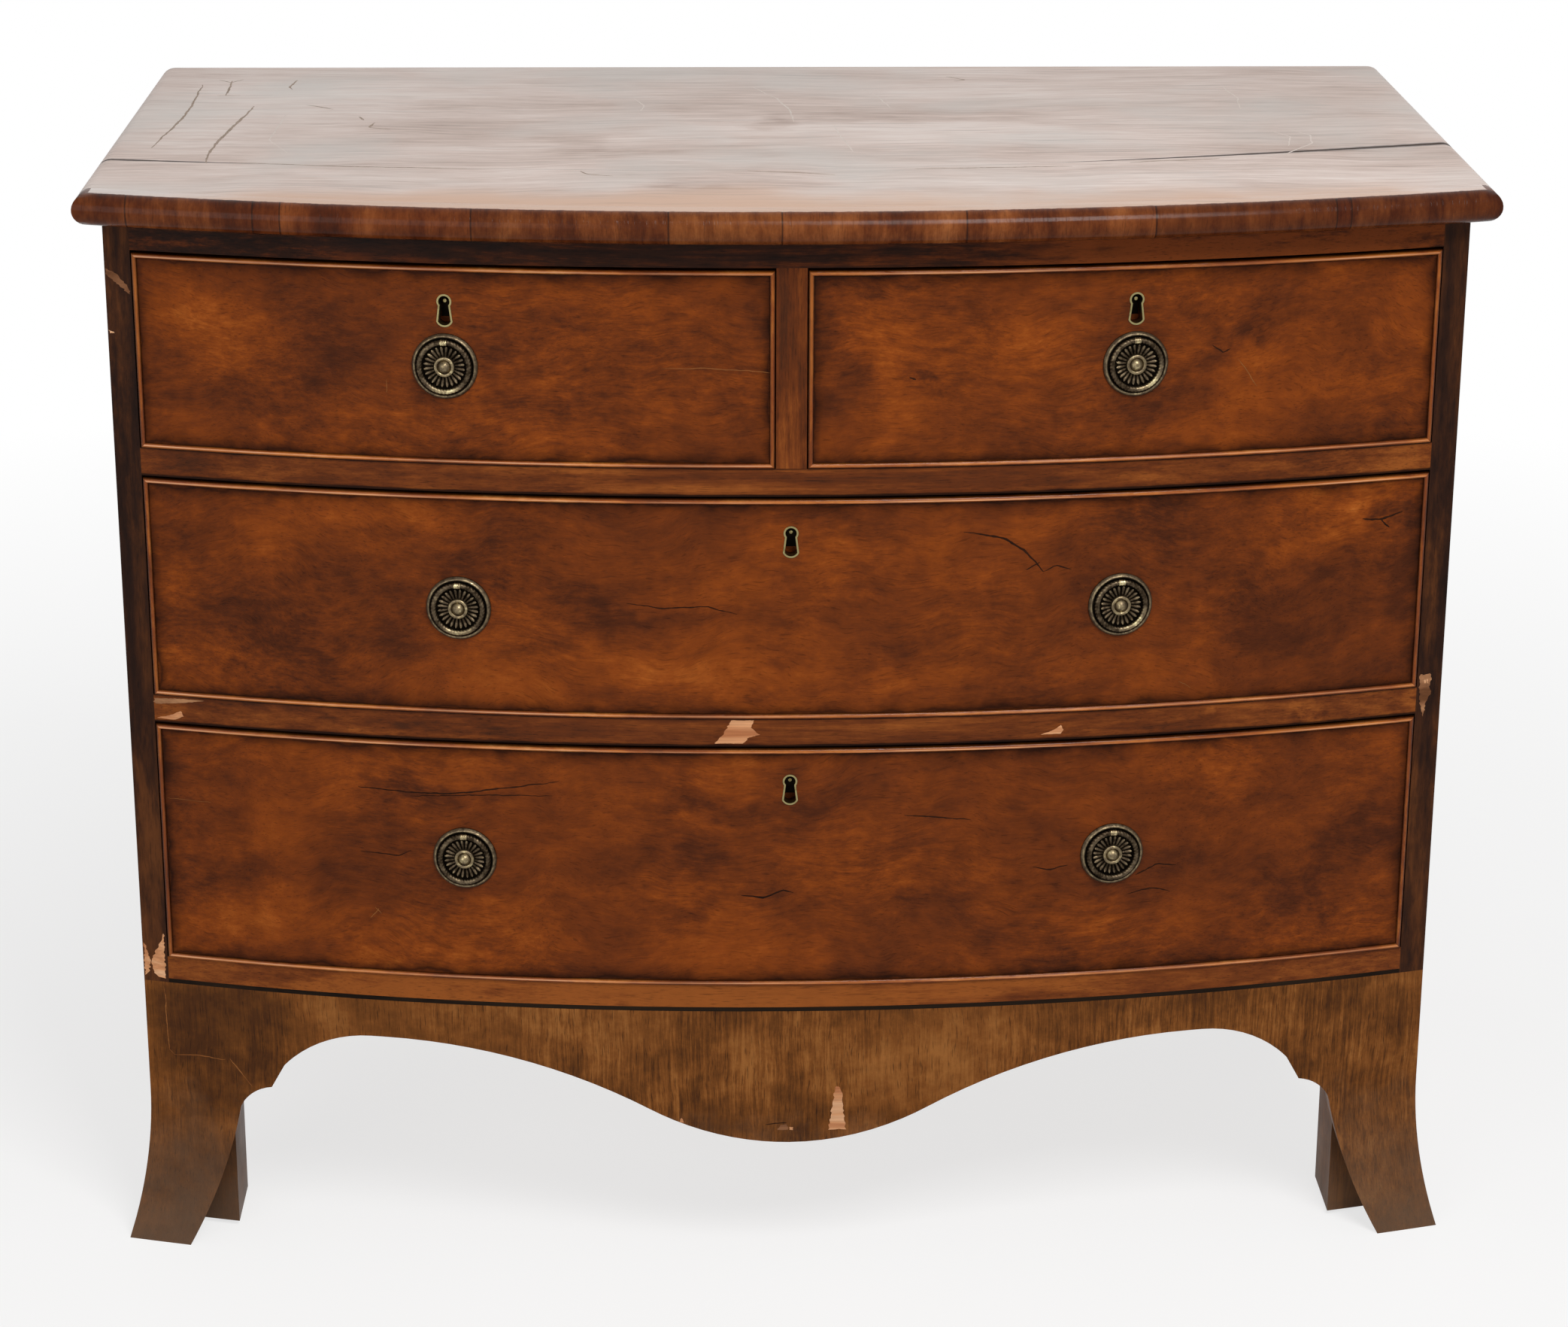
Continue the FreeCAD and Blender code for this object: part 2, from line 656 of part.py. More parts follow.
def upright_bead(x, z0, z1):
    """An upright bead whose middle is at x."""
    section = bead_section(lambda radius, offset: Vec(x + offset, bow_y(x + offset, radius), z0))
    return section.extrude(Vec(0, 0, z1 - z0))


def bead_strips(name):
    """Four mitred cockbeads, let into the edges of the front and standing proud of its face."""
    x0, x1, z0, z1 = drawer_box(name)
    b = bead_width
    # Mitre lines run from a bead's width outside the corners to twice that inside them.
    out_x0, out_x1, out_z0, out_z1 = x0 - b, x1 + b, z0 - b, z1 + b
    in_x0, in_x1, in_z0, in_z1 = x0 + 2 * b, x1 - 2 * b, z0 + 2 * b, z1 - 2 * b
    strips = [
        (level_bead(z1 - b / 2), [(out_x0, out_z1), (out_x1, out_z1), (in_x1, in_z1), (in_x0, in_z1)]),
        (level_bead(z0 + b / 2), [(out_x0, out_z0), (out_x1, out_z0), (in_x1, in_z0), (in_x0, in_z0)]),
        (upright_bead(x0 + b / 2, out_z0, out_z1),
         [(out_x0, out_z0), (in_x0, in_z0), (in_x0, in_z1), (out_x0, out_z1)]),
        (upright_bead(x1 - b / 2, out_z0, out_z1),
         [(out_x1, out_z0), (in_x1, in_z0), (in_x1, in_z1), (out_x1, out_z1)]),
    ]
    y0, y1 = face_y - beyond, corner_y + beyond
    top, bottom, left, right = [strip.common(prism_along_y(mitred, y0, y1)) for strip, mitred in strips]
    # The two level strips leave as free-form faces, which give closed facets at their mitres.
    return [top.toNurbs(), bottom.toNurbs(), left, right]


def tails(x0, x1, root_y, end_y, z0, z1):
    """Dovetails of a drawer side, wider at end_y than at root_y, spaced evenly up its edge."""
    count = max(2, round((z1 - z0) / dovetail_pitch))
    pitch = (z1 - z0) / count
    flare = abs(end_y - root_y) * dovetail_slope
    half = pitch * 0.32
    made = []
    for i in range(count):
        middle = z0 + pitch * (i + 0.5)
        corners = [Vec(x0, root_y, middle - half), Vec(x0, end_y, middle - half - flare),
                   Vec(x0, end_y, middle + half + flare), Vec(x0, root_y, middle + half)]
        made.append(Part.Face(Part.makePolygon(corners + corners[:1])).extrude(Vec(x1 - x0, 0, 0)))
    return made


def drawer_bottom(name, x0, x1, z0, back):
    """Bottom board or, in a long drawer, two boards on a grooved bearer."""
    z_low, z_high = z0 + bottom_lift, z0 + bottom_lift + bottom_thickness
    radius = front_inner_radius + bottom_groove
    left = x0 + drawer_side_thickness - bottom_groove
    right = x1 - drawer_side_thickness + bottom_groove
    if name.startswith("upper"):
        return [bow_fronted_board(left, right, radius, back, z_low, z_high)]
    tongue = bearer_width / 2 - bottom_groove
    boards = [bow_fronted_board(left, -tongue, radius, back, z_low, z_high),
              bow_fronted_board(tongue, right, radius, back, z_low, z_high)]
    low = z_high + 2 - bearer_thickness
    bearer = bow_fronted_board(-bearer_width / 2, bearer_width / 2, front_inner_radius,
                               back - drawer_back_thickness, low, z_high + 2)
    return boards + [bearer.cut(boards[0]).cut(boards[1])]


def drawer(name):
    """One drawer: bowed front, beads, dovetailed sides and back, and a bottom let into grooves."""
    x0, x1, z0, z1 = drawer_box(name)
    t = drawer_side_thickness
    back = back_board_y - drawer_rear_clearance
    side_top = z1 - side_drop

    front = bowed_plate(x0, x1, bow_radius, front_inner_radius, z0, z1)
    beads = bead_strips(name)
    bottoms = drawer_bottom(name, x0, x1, z0, back)
    back_low = z0 + bottom_lift + bottom_thickness
    back_top = side_top - (back_drop - side_drop)
    back_piece = box(x0, x1, back - drawer_back_thickness, back, back_low, back_top)
    sides_made = []
    for left, right, near_x in ((x0, x0 + t, x0), (x1 - t, x1, x1)):
        end_y = bow_y(near_x) + dovetail_lap
        root_y = bow_y(near_x, front_inner_radius)
        for tail in tails(left, right, root_y + t, end_y, z0, side_top):
            front = front.cut(tail)
        for tail in tails(left, right, back - drawer_back_thickness, back, back_low, back_top):
            back_piece = back_piece.cut(tail)
        sides_made.append(box(left, right, end_y, back, z0, side_top))

    for cutter in beads + bottoms + [lock_recess(name), keyhole_cut(name), escutcheon_blank(name)]:
        front = front.cut(cutter)
    for x in handle_places(name):
        front = front.cut(shank_hole(name, x))
    sides_made = [side.cut(front).cut(back_piece) for side in sides_made]
    for board in bottoms:
        sides_made = [side.cut(board) for side in sides_made]
    save(name + "_drawer_front", front)
    save(name + "_drawer_beads", *beads)
    save(name + "_drawer_sides", *sides_made)
    save(name + "_drawer_back", back_piece)
    save(name + "_drawer_bottom", *bottoms)


# ---- Locks --------------------------------------------------------------------------------------
def on_lock(name, shape):
    return turned_to(shape, lock_place(name))


def lock_blank(name):
    """Case and selvedge of a lock, let into the back and the top edge of a drawer front."""
    z1 = drawer_box(name)[3]
    y0, y1 = face_y + front_thickness - lock_depth, face_y + front_thickness
    case = box(-lock_width / 2, lock_width / 2, y0, y1, z1 - lock_height, z1)
    plate = box(-selvedge_width / 2, selvedge_width / 2, y0, y1, z1 - selvedge_thickness, z1)
    return case.fuse(plate).removeSplitter()


def lock_recess(name):
    z1 = drawer_box(name)[3]
    y0 = face_y + front_thickness
    mouth = box(-lock_width / 2, lock_width / 2, y0, y0 + 1, z1 - lock_height, z1)
    return on_lock(name, lock_blank(name).fuse(mouth))


def keyhole_height(name):
    return DRAWERS[name][3] - keyhole_drop


def escutcheon_prism(name, inset, y0, y1):
    """Outline of the escutcheon drawn in by inset, from y0 to y1 at the middle of the bow: a round
    head on a skirt that widens to a rounded foot.
    """
    z = keyhole_height(name)
    head, waist, skirt = escutcheon_radius - inset, escutcheon_waist - inset, escutcheon_skirt - inset
    waist_z = z - math.sqrt(head ** 2 - waist ** 2)
    skirt_z, foot_z = z - escutcheon_skirt_drop, z - escutcheon_foot_drop + inset
    right_waist, left_waist = Vec(waist, y0, waist_z), Vec(-waist, y0, waist_z)
    right_skirt, left_skirt = Vec(skirt, y0, skirt_z), Vec(-skirt, y0, skirt_z)
    wire = Part.Wire([
        Part.Arc(left_waist, Vec(0, y0, z + head), right_waist).toShape(),
        Part.makeLine(right_waist, right_skirt),
        Part.Arc(right_skirt, Vec(0, y0, foot_z), left_skirt).toShape(),
        Part.makeLine(left_skirt, left_waist),
    ])
    return Part.Face(wire).extrude(Vec(0, y1 - y0, 0))


def keyhole_cut(name):
    """The keyhole, which runs in from the face of the drawer as far as the lock."""
    case_y = face_y + front_thickness - lock_depth
    return on_lock(name, escutcheon_prism(name, escutcheon_wall, face_y - 1, case_y))


def escutcheon_blank(name):
    shape = escutcheon_prism(name, 0, face_y - escutcheon_projection, face_y + escutcheon_depth)
    return on_lock(name, shape)


def lock(name):
    """Lock case with its pin, the escutcheon round the keyhole, and the bolt that rises."""
    z1 = drawer_box(name)[3]
    middle = face_y + front_thickness - lock_depth / 2
    half_w, half_t = bolt_width / 2, bolt_thickness / 2
    bolt = box(-half_w, half_w, middle - half_t, middle + half_t, z1 - bolt_height, z1)
    c = bolt_clearance
    way = box(-half_w - c, half_w + c, middle - half_t - c, middle + half_t + c,
              z1 - bolt_height - c, z1 + 1)
    case = lock_blank(name).cut(way)
    z = keyhole_height(name)
    tip = face_y + lock_pin_setback
    pin = Part.makeCylinder(lock_pin_radius, middle - half_t - c - tip, Vec(0, tip, z), Vec(0, 1, 0))
    case = case.fuse(pin).removeSplitter()
    save(name + "_lock", on_lock(name, case), escutcheon_blank(name).cut(keyhole_cut(name)))
    save(name + "_lock_bolt", on_lock(name, bolt))


# ---- Ring handles -------------------------------------------------------------------------------
def handle_places(name):
    if name.startswith("upper"):
        return [lock_place(name)]
    return [-handle_spacing / 2, handle_spacing / 2]


def handle_height(name):
    z0, z1 = DRAWERS[name][2:]
    lift = {"middle": middle_handle_lift, "bottom": bottom_handle_lift}.get(name, short_handle_lift)
    return (z0 + z1) / 2 + lift


def out_from_face(height):
    """Y of a point that far out from the face at the middle of the bow."""
    return face_y - height


def shank_hole(name, x):
    z = handle_height(name) + ring_pin_height
    radius = shank_radius + shank_clearance
    hole = Part.makeCylinder(radius, front_thickness + 2, Vec(0, face_y - 1, z), Vec(0, 1, 0))
    return turned_to(hole, x)


def back_plate():
    """Round back plate turned about Y, its middle at z = 0: button, collar, dished rosette and rim."""
    def at(r, height):
        return Vec(r, out_from_face(height), 0)

    def arc(*points):
        return Part.Arc(*[at(r, height) for r, height in points]).toShape()

    def line(*points):
        return Part.makeLine(*[at(r, height) for r, height in points])

    under = nut_clearance
    edge, inner_edge = (plate_radius, plate_edge_height), (rim_inner_radius, channel_height)
    channel_end = (rosette_radius, channel_height)
    dish_end, collar_top = (collar_radius, rosette_inner_height), (collar_radius - 1.0, collar_height)
    button_foot = (button_radius, collar_height - 0.8)
    dish_middle = ((rosette_crest_radius + collar_radius) / 2, rosette_inner_height + 0.1)
    dome_rise = button_height - button_foot[1]
    dome_radius = (button_radius ** 2 + dome_rise ** 2) / (2 * dome_rise)
    dome_angle = math.asin(button_radius / dome_radius) / 2
    dome_middle = (dome_radius * math.sin(dome_angle),
                   button_height - dome_radius * (1 - math.cos(dome_angle)))
    wire = Part.Wire([
        line((0, under), (plate_radius, under)),
        line((plate_radius, under), edge),
        arc(edge, (rim_crest_radius, rim_crest_height), inner_edge),
        line(inner_edge, channel_end),
        line(channel_end, (rosette_crest_radius, rosette_crest_height)),
        arc((rosette_crest_radius, rosette_crest_height), dish_middle, dish_end),
        line(dish_end, collar_top),
        line(collar_top, button_foot),
        arc(button_foot, dome_middle, (0, button_height)),
        line((0, button_height), (0, under)),
    ])
    plate = Part.Face(wire).revolve(Vec(0, 0, 0), Vec(0, 1, 0), 360)
    hole = Part.makeCylinder(shank_radius + pin_clearance, rim_crest_height,
                             Vec(0, out_from_face(rim_crest_height), ring_pin_height), Vec(0, 1, 0))
    return plate.cut(hole)


def ring_post():
    """Knuckle that the ring hangs from, on a shank that passes through the drawer's front."""
    axis = out_from_face(ring_height)
    head = Part.makeCylinder(knuckle_radius, knuckle_width,
                             Vec(-knuckle_width / 2, axis, ring_pin_height), Vec(1, 0, 0))
    shank_length = ring_height + front_thickness + shank_tail
    shank = Part.makeCylinder(shank_radius, shank_length, Vec(0, axis, ring_pin_height), Vec(0, 1, 0))
    bore = Part.makeCylinder(ring_pin_radius + pin_clearance, 2 * knuckle_width,
                             Vec(-knuckle_width, axis, ring_pin_height), Vec(1, 0, 0))
    return head.fuse(shank).removeSplitter().cut(bore)


def nut():
    y0 = face_y + front_thickness + nut_clearance
    half = nut_size / 2
    block = box(-half, half, y0, y0 + nut_thickness, ring_pin_height - half, ring_pin_height + half)
    hole = Part.makeCylinder(shank_radius + pin_clearance, nut_thickness,
                             Vec(0, y0, ring_pin_height), Vec(0, 1, 0))
    return block.cut(hole)


def ring():
    """The ring, closed at its top by a straight pin through the knuckle."""
    axis = out_from_face(ring_height)
    hoop = Part.makeTorus(ring_radius, ring_wire_radius, Vec(0, axis, 0), Vec(0, 1, 0))
    gap = box(-ring_end_x, ring_end_x, axis - ring_radius, axis + ring_radius, 0, 2 * ring_radius)
    reach = ring_end_x + ring_pin_radius
    pin = Part.makeCylinder(ring_pin_radius, 2 * reach, Vec(-reach, axis, ring_pin_height), Vec(1, 0, 0))
    return hoop.cut(gap).fuse(pin).removeSplitter()


def handles():
    plate, post, nut_shape, ring_shape = back_plate(), ring_post(), nut(), ring()
    for name in DRAWERS:
        places = handle_places(name)
        fixed = []
        for x in places:
            up = Vec(0, 0, handle_height(name))
            here = []
            for shape in (plate, post, nut_shape, ring_shape):
                moved = shape.copy()
                moved.translate(up)
                here.append(turned_to(moved, x))
            fixed += here[:3]
            side = "" if len(places) == 1 else ("_left" if x < 0 else "_right")
            save(name + side + "_ring", here[3])
        save(name + "_handle_plates", *fixed)


# ---- Everything ---------------------------------------------------------------------------------
def main():
    os.makedirs("parts", exist_ok=True)
    top_pieces()
    sides()
    rails()
    dustboards()
    runners()
    partition()
    back_boards()
    drawer_stops()
    base()
    for name in DRAWERS:
        drawer(name)
        lock(name)
    handles()


main()
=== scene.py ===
import json
import math
from functools import partial

import bmesh
import bpy
import numpy as np
from mathutils import Matrix, Vector
from mathutils.geometry import delaunay_2d_cdt


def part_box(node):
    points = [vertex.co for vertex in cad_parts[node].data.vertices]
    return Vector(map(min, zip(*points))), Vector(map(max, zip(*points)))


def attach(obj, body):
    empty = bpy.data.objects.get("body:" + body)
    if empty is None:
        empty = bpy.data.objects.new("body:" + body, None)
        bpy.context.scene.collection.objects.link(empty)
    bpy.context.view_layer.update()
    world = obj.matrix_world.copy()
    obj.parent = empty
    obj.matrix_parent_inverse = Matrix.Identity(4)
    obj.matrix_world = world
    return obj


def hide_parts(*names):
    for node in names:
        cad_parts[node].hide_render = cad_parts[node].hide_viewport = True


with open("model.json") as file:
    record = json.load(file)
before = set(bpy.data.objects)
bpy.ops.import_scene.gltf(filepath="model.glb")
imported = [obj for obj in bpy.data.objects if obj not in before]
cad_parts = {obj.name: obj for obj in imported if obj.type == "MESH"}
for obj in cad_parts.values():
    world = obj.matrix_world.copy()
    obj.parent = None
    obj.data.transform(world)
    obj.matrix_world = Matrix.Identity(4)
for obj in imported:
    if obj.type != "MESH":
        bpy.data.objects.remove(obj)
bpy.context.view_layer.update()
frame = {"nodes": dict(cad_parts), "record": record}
nodes = frame["nodes"]
mm = 0.001
drawerNames = ("upper_left", "upper_right", "middle", "bottom")

# every front surface of the chest is an upright cylinder about one axis
bow = dict(rise=70 * mm, halfWidth=-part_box("left_side")[0].x, faceY=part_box("lower_rail")[0].y)
bow["radius"] = (bow["halfWidth"] ** 2 + bow["rise"] ** 2) / (2 * bow["rise"])
bow["axisY"] = bow["faceY"] + bow["radius"]
bead = dict(width=4 * mm, projection=2.2 * mm, depth=6 * mm, noseSteps=14, longSteps=72, shortSteps=9, sideStep=0.31)
print("frame loaded:", len(nodes), "nodes")


def bowY(x, out=0.0):
    # y = axisY - sqrt((radius + out)^2 - x^2)
    return bow["axisY"] - np.sqrt((bow["radius"] + out) ** 2 - x ** 2)


def bowX(s):
    # from millimetres measured round the bow: x = radius sin(s / radius)
    return bow["radius"] * np.sin(s * mm / bow["radius"])


# materials
def hexColour(code):
    # sRGB to linear: c / 12.92 up to 0.04045, else ((c + 0.055) / 1.055) ^ 2.4
    parts = [int(code[i:i + 2], 16) / 255 for i in (1, 3, 5)]
    return tuple(c / 12.92 if c <= 0.04045 else ((c + 0.055) / 1.055) ** 2.4 for c in parts) + (1.0,)


def fillInputs(material, node, inputs):
    # links what is a socket, and sets what is a value or a hex colour
    for name, value in inputs.items():
        if isinstance(value, bpy.types.NodeSocket):
            material.node_tree.links.new(value, node.inputs[name])
        else:
            node.inputs[name].default_value = hexColour(value) if isinstance(value, str) else value


def addNode(material, kind, inputs=None, stops=None, output=0, **settings):
    # adds one node, sets its properties, fills its inputs and its ramp, and gives back the output that is asked
    # for, or all of them for None
    made = material.node_tree.nodes.new("ShaderNode" + kind)
    for name, value in settings.items():
        setattr(made, name, value)
    fillInputs(material, made, inputs or {})
    if stops:
        ramp = made.color_ramp
        while len(ramp.elements) < len(stops):
            ramp.elements.new(1.0)
        for element, (position, code) in zip(ramp.elements, stops):
            element.position = position
            element.color = hexColour(code) if isinstance(code, str) else (code, code, code, 1.0)
    return made.outputs if output is None else made.outputs[output]


# the Mix node's settings for colours, of which the third output is the mixed one
mixColours = dict(output=2, data_type="RGBA")
multiplyColours = dict(mixColours, blend_type="MULTIPLY")


def newMaterial(name):
    # a material, and the function that adds a node to it
    material = bpy.data.materials.new(name)
    material.use_nodes = True
    return material, partial(addNode, material)


def dressShader(material, inputs):
    # links or sets the inputs of the material's own shader
    fillInputs(material, material.node_tree.nodes["Principled BSDF"], inputs)


def grainPlace(add, run):
    # a point's place with the grain's direction first; round the bow s = radius * atan2(x, axisY - y)
    if run == "uv":
        return add("UVMap", uv_map="surface")
    x, y, z = add("SeparateXYZ", {0: add("TexCoord", output="Object")}, output=None)
    if "bow" in run:
        forward = add("Math", {0: bow["axisY"], 1: y}, operation="SUBTRACT")
        angle = add("Math", {0: x, 1: forward}, operation="ARCTAN2")
        x = add("Math", {0: angle, 1: bow["radius"]}, operation="MULTIPLY")
    order = {"x": (x, y, z), "y": (y, x, z), "z": (z, x, y), "bow": (x, z, y), "bowUp": (z, x, y)}[run]
    return add("CombineXYZ", dict(enumerate(order)))


def swirled(add, place, start, perMetre, reach):
    # start + reach (noise(place perMetre) - 1/2), which pushes a pattern to and fro
    drift = add("TexNoise", {"Vector": place, "Scale": perMetre, "Detail": 2.0}, output="Color")
    drift = add("VectorMath", {0: drift, 1: (-0.5, -0.5, -0.5)})
    return add("VectorMath", {0: drift, 1: reach, 2: start}, operation="MULTIPLY_ADD")


# how many cells of each pattern go to a metre along the grain and across it
grain = dict(flame=(9, 90), flecks=(60, 130), streaks=(14, 380), pores=(80, 1100), bandsAcross=34,
             bleachedClouds=(3.4, 10), bleachedDashes=(9, 190), growth=(3.5, 60), fibres=(25, 700))


def grainPattern(add, place, perMetre, detail, roughness=0.5, distortion=0.0):
    # noise(place perMetre), long along the grain and fine across it
    along, across = perMetre
    stretched = add("VectorMath", {0: place, 1: (along, across, across)}, operation="MULTIPLY")
    return add("TexNoise", {"Vector": stretched, "Scale": 1.0, "Detail": detail, "Roughness": roughness,
                            "Distortion": distortion})


def stained(add, figure, place, stains, reach, fade, roughness=0.5):
    # smoky stains and warm lights, each an ellipse (middle, width, height in mm, shift of the figure) whose
    # outline wanders by reach metres: figure + shift smoothstep(distance / radius over fade)
    wander = add("TexNoise", {"Vector": place, "Scale": 16.0, "Detail": 5.0, "Roughness": roughness}, output="Color")
    wander = add("VectorMath", {0: wander, 1: (*reach, 0.0), 2: place}, operation="MULTIPLY_ADD")
    for x0, y0, width, height, shift in stains:
        middle = (x0 * mm + reach[0] / 2, y0 * mm + reach[1] / 2, 0)
        around = add("VectorMath", {0: wander, 1: middle}, operation="SUBTRACT")
        around = add("VectorMath", {0: around, 1: (2000 / width, 2000 / height, 0)}, operation="MULTIPLY")
        far = add("VectorMath", {0: around}, output="Value", operation="LENGTH")
        stain = add("MapRange", {"Value": far, "From Min": fade[0], "From Max": fade[1], "To Min": shift,
                                 "To Max": 0.0}, interpolation_type="SMOOTHSTEP")
        figure = add("Math", {0: figure, 1: stain})
    return figure


def mahogany(name, look):
    # Old French-polished mahogany: smoky clouds and warm lights, flames that follow the swirl of the grain, short
    # dark pores, and a soft sheen that wear has made uneven. Scales are one over a real size in metres.
    material, add = newMaterial(name)
    seed = look["seed"]
    place = add("VectorMath", {0: grainPlace(add, look["run"]), 1: (3.71 * seed, 1.93 * seed, 2.57 * seed)})

    # the figure swirls: a slow noise pushes the pattern across the grain, and a quicker one ruffles it
    warped = place
    for size, reach in ((look["swirlSize"], look["swirl"]), (look["swirlSize"] / 4, look["swirl"] / 6)):
        warped = swirled(add, place, warped, 1000 / size, (reach * mm, 2 * reach * mm, reach * mm))

    # figure: clouds longer along the grain than across it, with flames and streaks 2 to 3 mm wide that follow
    # the swirl, and a mottle of short flecks; all strong in places and faint in others
    long, wide = look["cloud"]
    figure = grainPattern(add, warped, (1000 / long, 1000 / wide), 9.0, 0.67)
    where = add("TexNoise", {"Vector": place, "Scale": 7.0, "Detail": 2.0})
    amount = add("MapRange", {"Value": where, "From Min": 0.35, "From Max": 0.65, "To Min": 0.4, "To Max": 1.4})
    for start, kind in ((warped, "flame"), (place, "flecks"), (warped, "streaks")):
        streaks = grainPattern(add, start, grain[kind], 6.0, 0.74)
        lift = add("MapRange", {"Value": streaks, "From Min": 0.3, "From Max": 0.7, "To Min": -look[kind],
                                "To Max": look[kind]})
        figure = add("Math", {0: lift, 1: amount, 2: figure}, operation="MULTIPLY_ADD")
    level = grainPlace(add, "bow")
    if "stains" in look:
        figure = stained(add, figure, level, look["stains"], (0.13, 0.09), (0.2, 1.4), 0.6)
    colour = add("ValToRGB", {"Fac": figure}, look["clouds"])

    # cross figure: faint bands across the grain
    bands = grainPattern(add, warped, (1000 / look["band"], grain["bandsAcross"]), 3.0, 0.6)
    tone = add("MapRange", {"Value": bands, "From Min": 0.35, "From Max": 0.7, "To Min": 1 - look["bands"],
                            "To Max": 1 + look["bands"]})

    # pores drawn about 1 mm wide, coarser than real ones so that they show
    pores = grainPattern(add, warped, grain["pores"], 1.0)
    pores = add("MapRange", {"Value": pores, "From Min": 0.6, "From Max": 0.72})
    poreTone = add("MapRange", {"Value": pores, "To Min": 1.0, "To Max": 1 - look["pores"]})
    tone = add("Math", {0: tone, 1: poreTone}, operation="MULTIPLY")

    # on a drawer front, dirt and old polish darken the edge inside the beads, most in the last few millimetres; on
    # the upper and lower rails the same band, narrow and nearly black, is painted shade along the gaps beside the
    # drawers
    if "edge" in look:
        s, z = add("SeparateXYZ", {0: level}, output=None)[:2]
        s0, s1, z0, z1 = look["edge"]
        nearest, *others = [add("Math", {0: a, 1: b}, operation="SUBTRACT")
                            for a, b in ((s, s0), (s1, s), (z, z0), (z1, z))]
        for gap in others:
            nearest = add("Math", {0: nearest, 1: gap}, operation="MINIMUM")
        wisp = add("TexNoise", {"Vector": place, "Scale": 40.0, "Detail": 4.0})
        ragged = look.get("ragged", 7) * mm
        wisp = add("MapRange", {"Value": wisp, "To Min": -ragged, "To Max": ragged})
        nearest = add("Math", {0: add("Math", {0: nearest, 1: wisp})}, operation="ABSOLUTE")
        halo = add("ValToRGB", {"Fac": add("Math", {0: nearest, 1: 40.0}, operation="MULTIPLY")}, look["halo"])
        tone = add("Math", {0: tone, 1: halo}, operation="MULTIPLY")

    # painted shading across each bead: a ramp over its width paints shade into the corners at both feet and a painted
    # highlight over the round, and the upright beads are made darker as painted shade
    if "foot" in look:
        over = add("SeparateXYZ", {0: add("UVMap", uv_map="surface")}, output=1)
        upright = add("Math", {0: over, 1: 1.8 * bead["sideStep"]}, operation="GREATER_THAN")
        upright = add("MapRange", {"Value": upright, "To Min": 1.0, "To Max": 0.72})
        tone = add("Math", {0: tone, 1: upright}, operation="MULTIPLY")
        over = add("Math", {0: over, 1: bead["sideStep"]}, operation="MODULO")
        over = add("MapRange", {"Value": over, "From Max": bead["width"]})
        tone = add("Math", {0: tone, 1: add("ValToRGB", {"Fac": over}, look["foot"])}, operation="MULTIPLY")
    colour = add("Mix", {"Factor": 1.0, 6: colour, 7: tone}, **multiplyColours)

    # painted highlight: in places the crest of a level bead is mixed towards pale tan, an upright one nowhere
    if "crest" in look:
        marked = add("TexNoise", {"Vector": place, "Scale": 9.0, "Detail": 5.0})
        marked = add("MapRange", {"Value": marked, "From Min": 0.38, "From Max": 0.62, "To Min": 0.12, "To Max": 0.8})
        marked = add("Math", {0: marked, 1: add("ValToRGB", {"Fac": over}, look["crest"])}, operation="MULTIPLY")
        upright = add("MapRange", {"Value": upright, "From Min": 0.8, "To Min": 0.0, "To Max": 1.0})
        marked = add("Math", {0: marked, 1: upright}, operation="MULTIPLY")
        colour = add("Mix", {"Factor": marked, 6: colour, 7: "#d49c72"}, **mixColours)

    # scuffed and dusty towards the floor
    if "dustTo" in look:
        z = add("SeparateXYZ", {0: level}, output=1)
        rise = add("TexNoise", {"Vector": place, "Scale": 30.0, "Detail": 5.0, "Roughness": 0.7})
        z = add("Math", {0: z, 1: add("MapRange", {"Value": rise, "To Min": -60 * mm, "To Max": 60 * mm})})
        dust = add("MapRange", {"Value": z, "From Max": look["dustTo"] * mm, "To Min": 0.75, "To Max": 0.0})
        colour = add("Mix", {"Factor": dust, 6: colour, 7: "#5d4a3b"}, **mixColours)

    # pin-head chips and specks of filler, about 1.5 mm across, in one cell of every so many
    if "specks" in look:
        cells = add("TexVoronoi", {"Vector": place, "Scale": 45.0}, output=None)
        chosen = add("SeparateColor", {0: cells["Color"]})
        chosen = add("Math", {0: chosen, 1: look["specks"]}, operation="LESS_THAN")
        near = add("Math", {0: cells["Distance"], 1: 0.035}, operation="LESS_THAN")
        speck = add("Math", {0: chosen, 1: near}, operation="MULTIPLY")
        colour = add("Mix", {"Factor": speck, 6: colour, 7: "#b98d68"}, **mixColours)

    wear = add("TexNoise", {"Vector": place, "Scale": 14.0, "Detail": 4.0})
    low, high = look["rough"]
    rough = add("MapRange", {"Value": wear, "From Min": 0.3, "From Max": 0.7, "To Min": low, "To Max": high})
    height = add("Math", {0: streaks, 1: pores}, operation="SUBTRACT")
    dents = add("TexNoise", {"Vector": place, "Scale": 60.0, "Detail": 2.0})
    height = add("Math", {0: dents, 1: 1.5, 2: height}, operation="MULTIPLY_ADD")
    bump = add("Bump", {"Height": height, "Distance": 0.00012, "Strength": 0.5})
    dressShader(material, {"Base Color": colour, "Roughness": rough, "Normal": bump, "IOR": 1.5,
                           "Specular IOR Level": look["sheen"]})
    return material


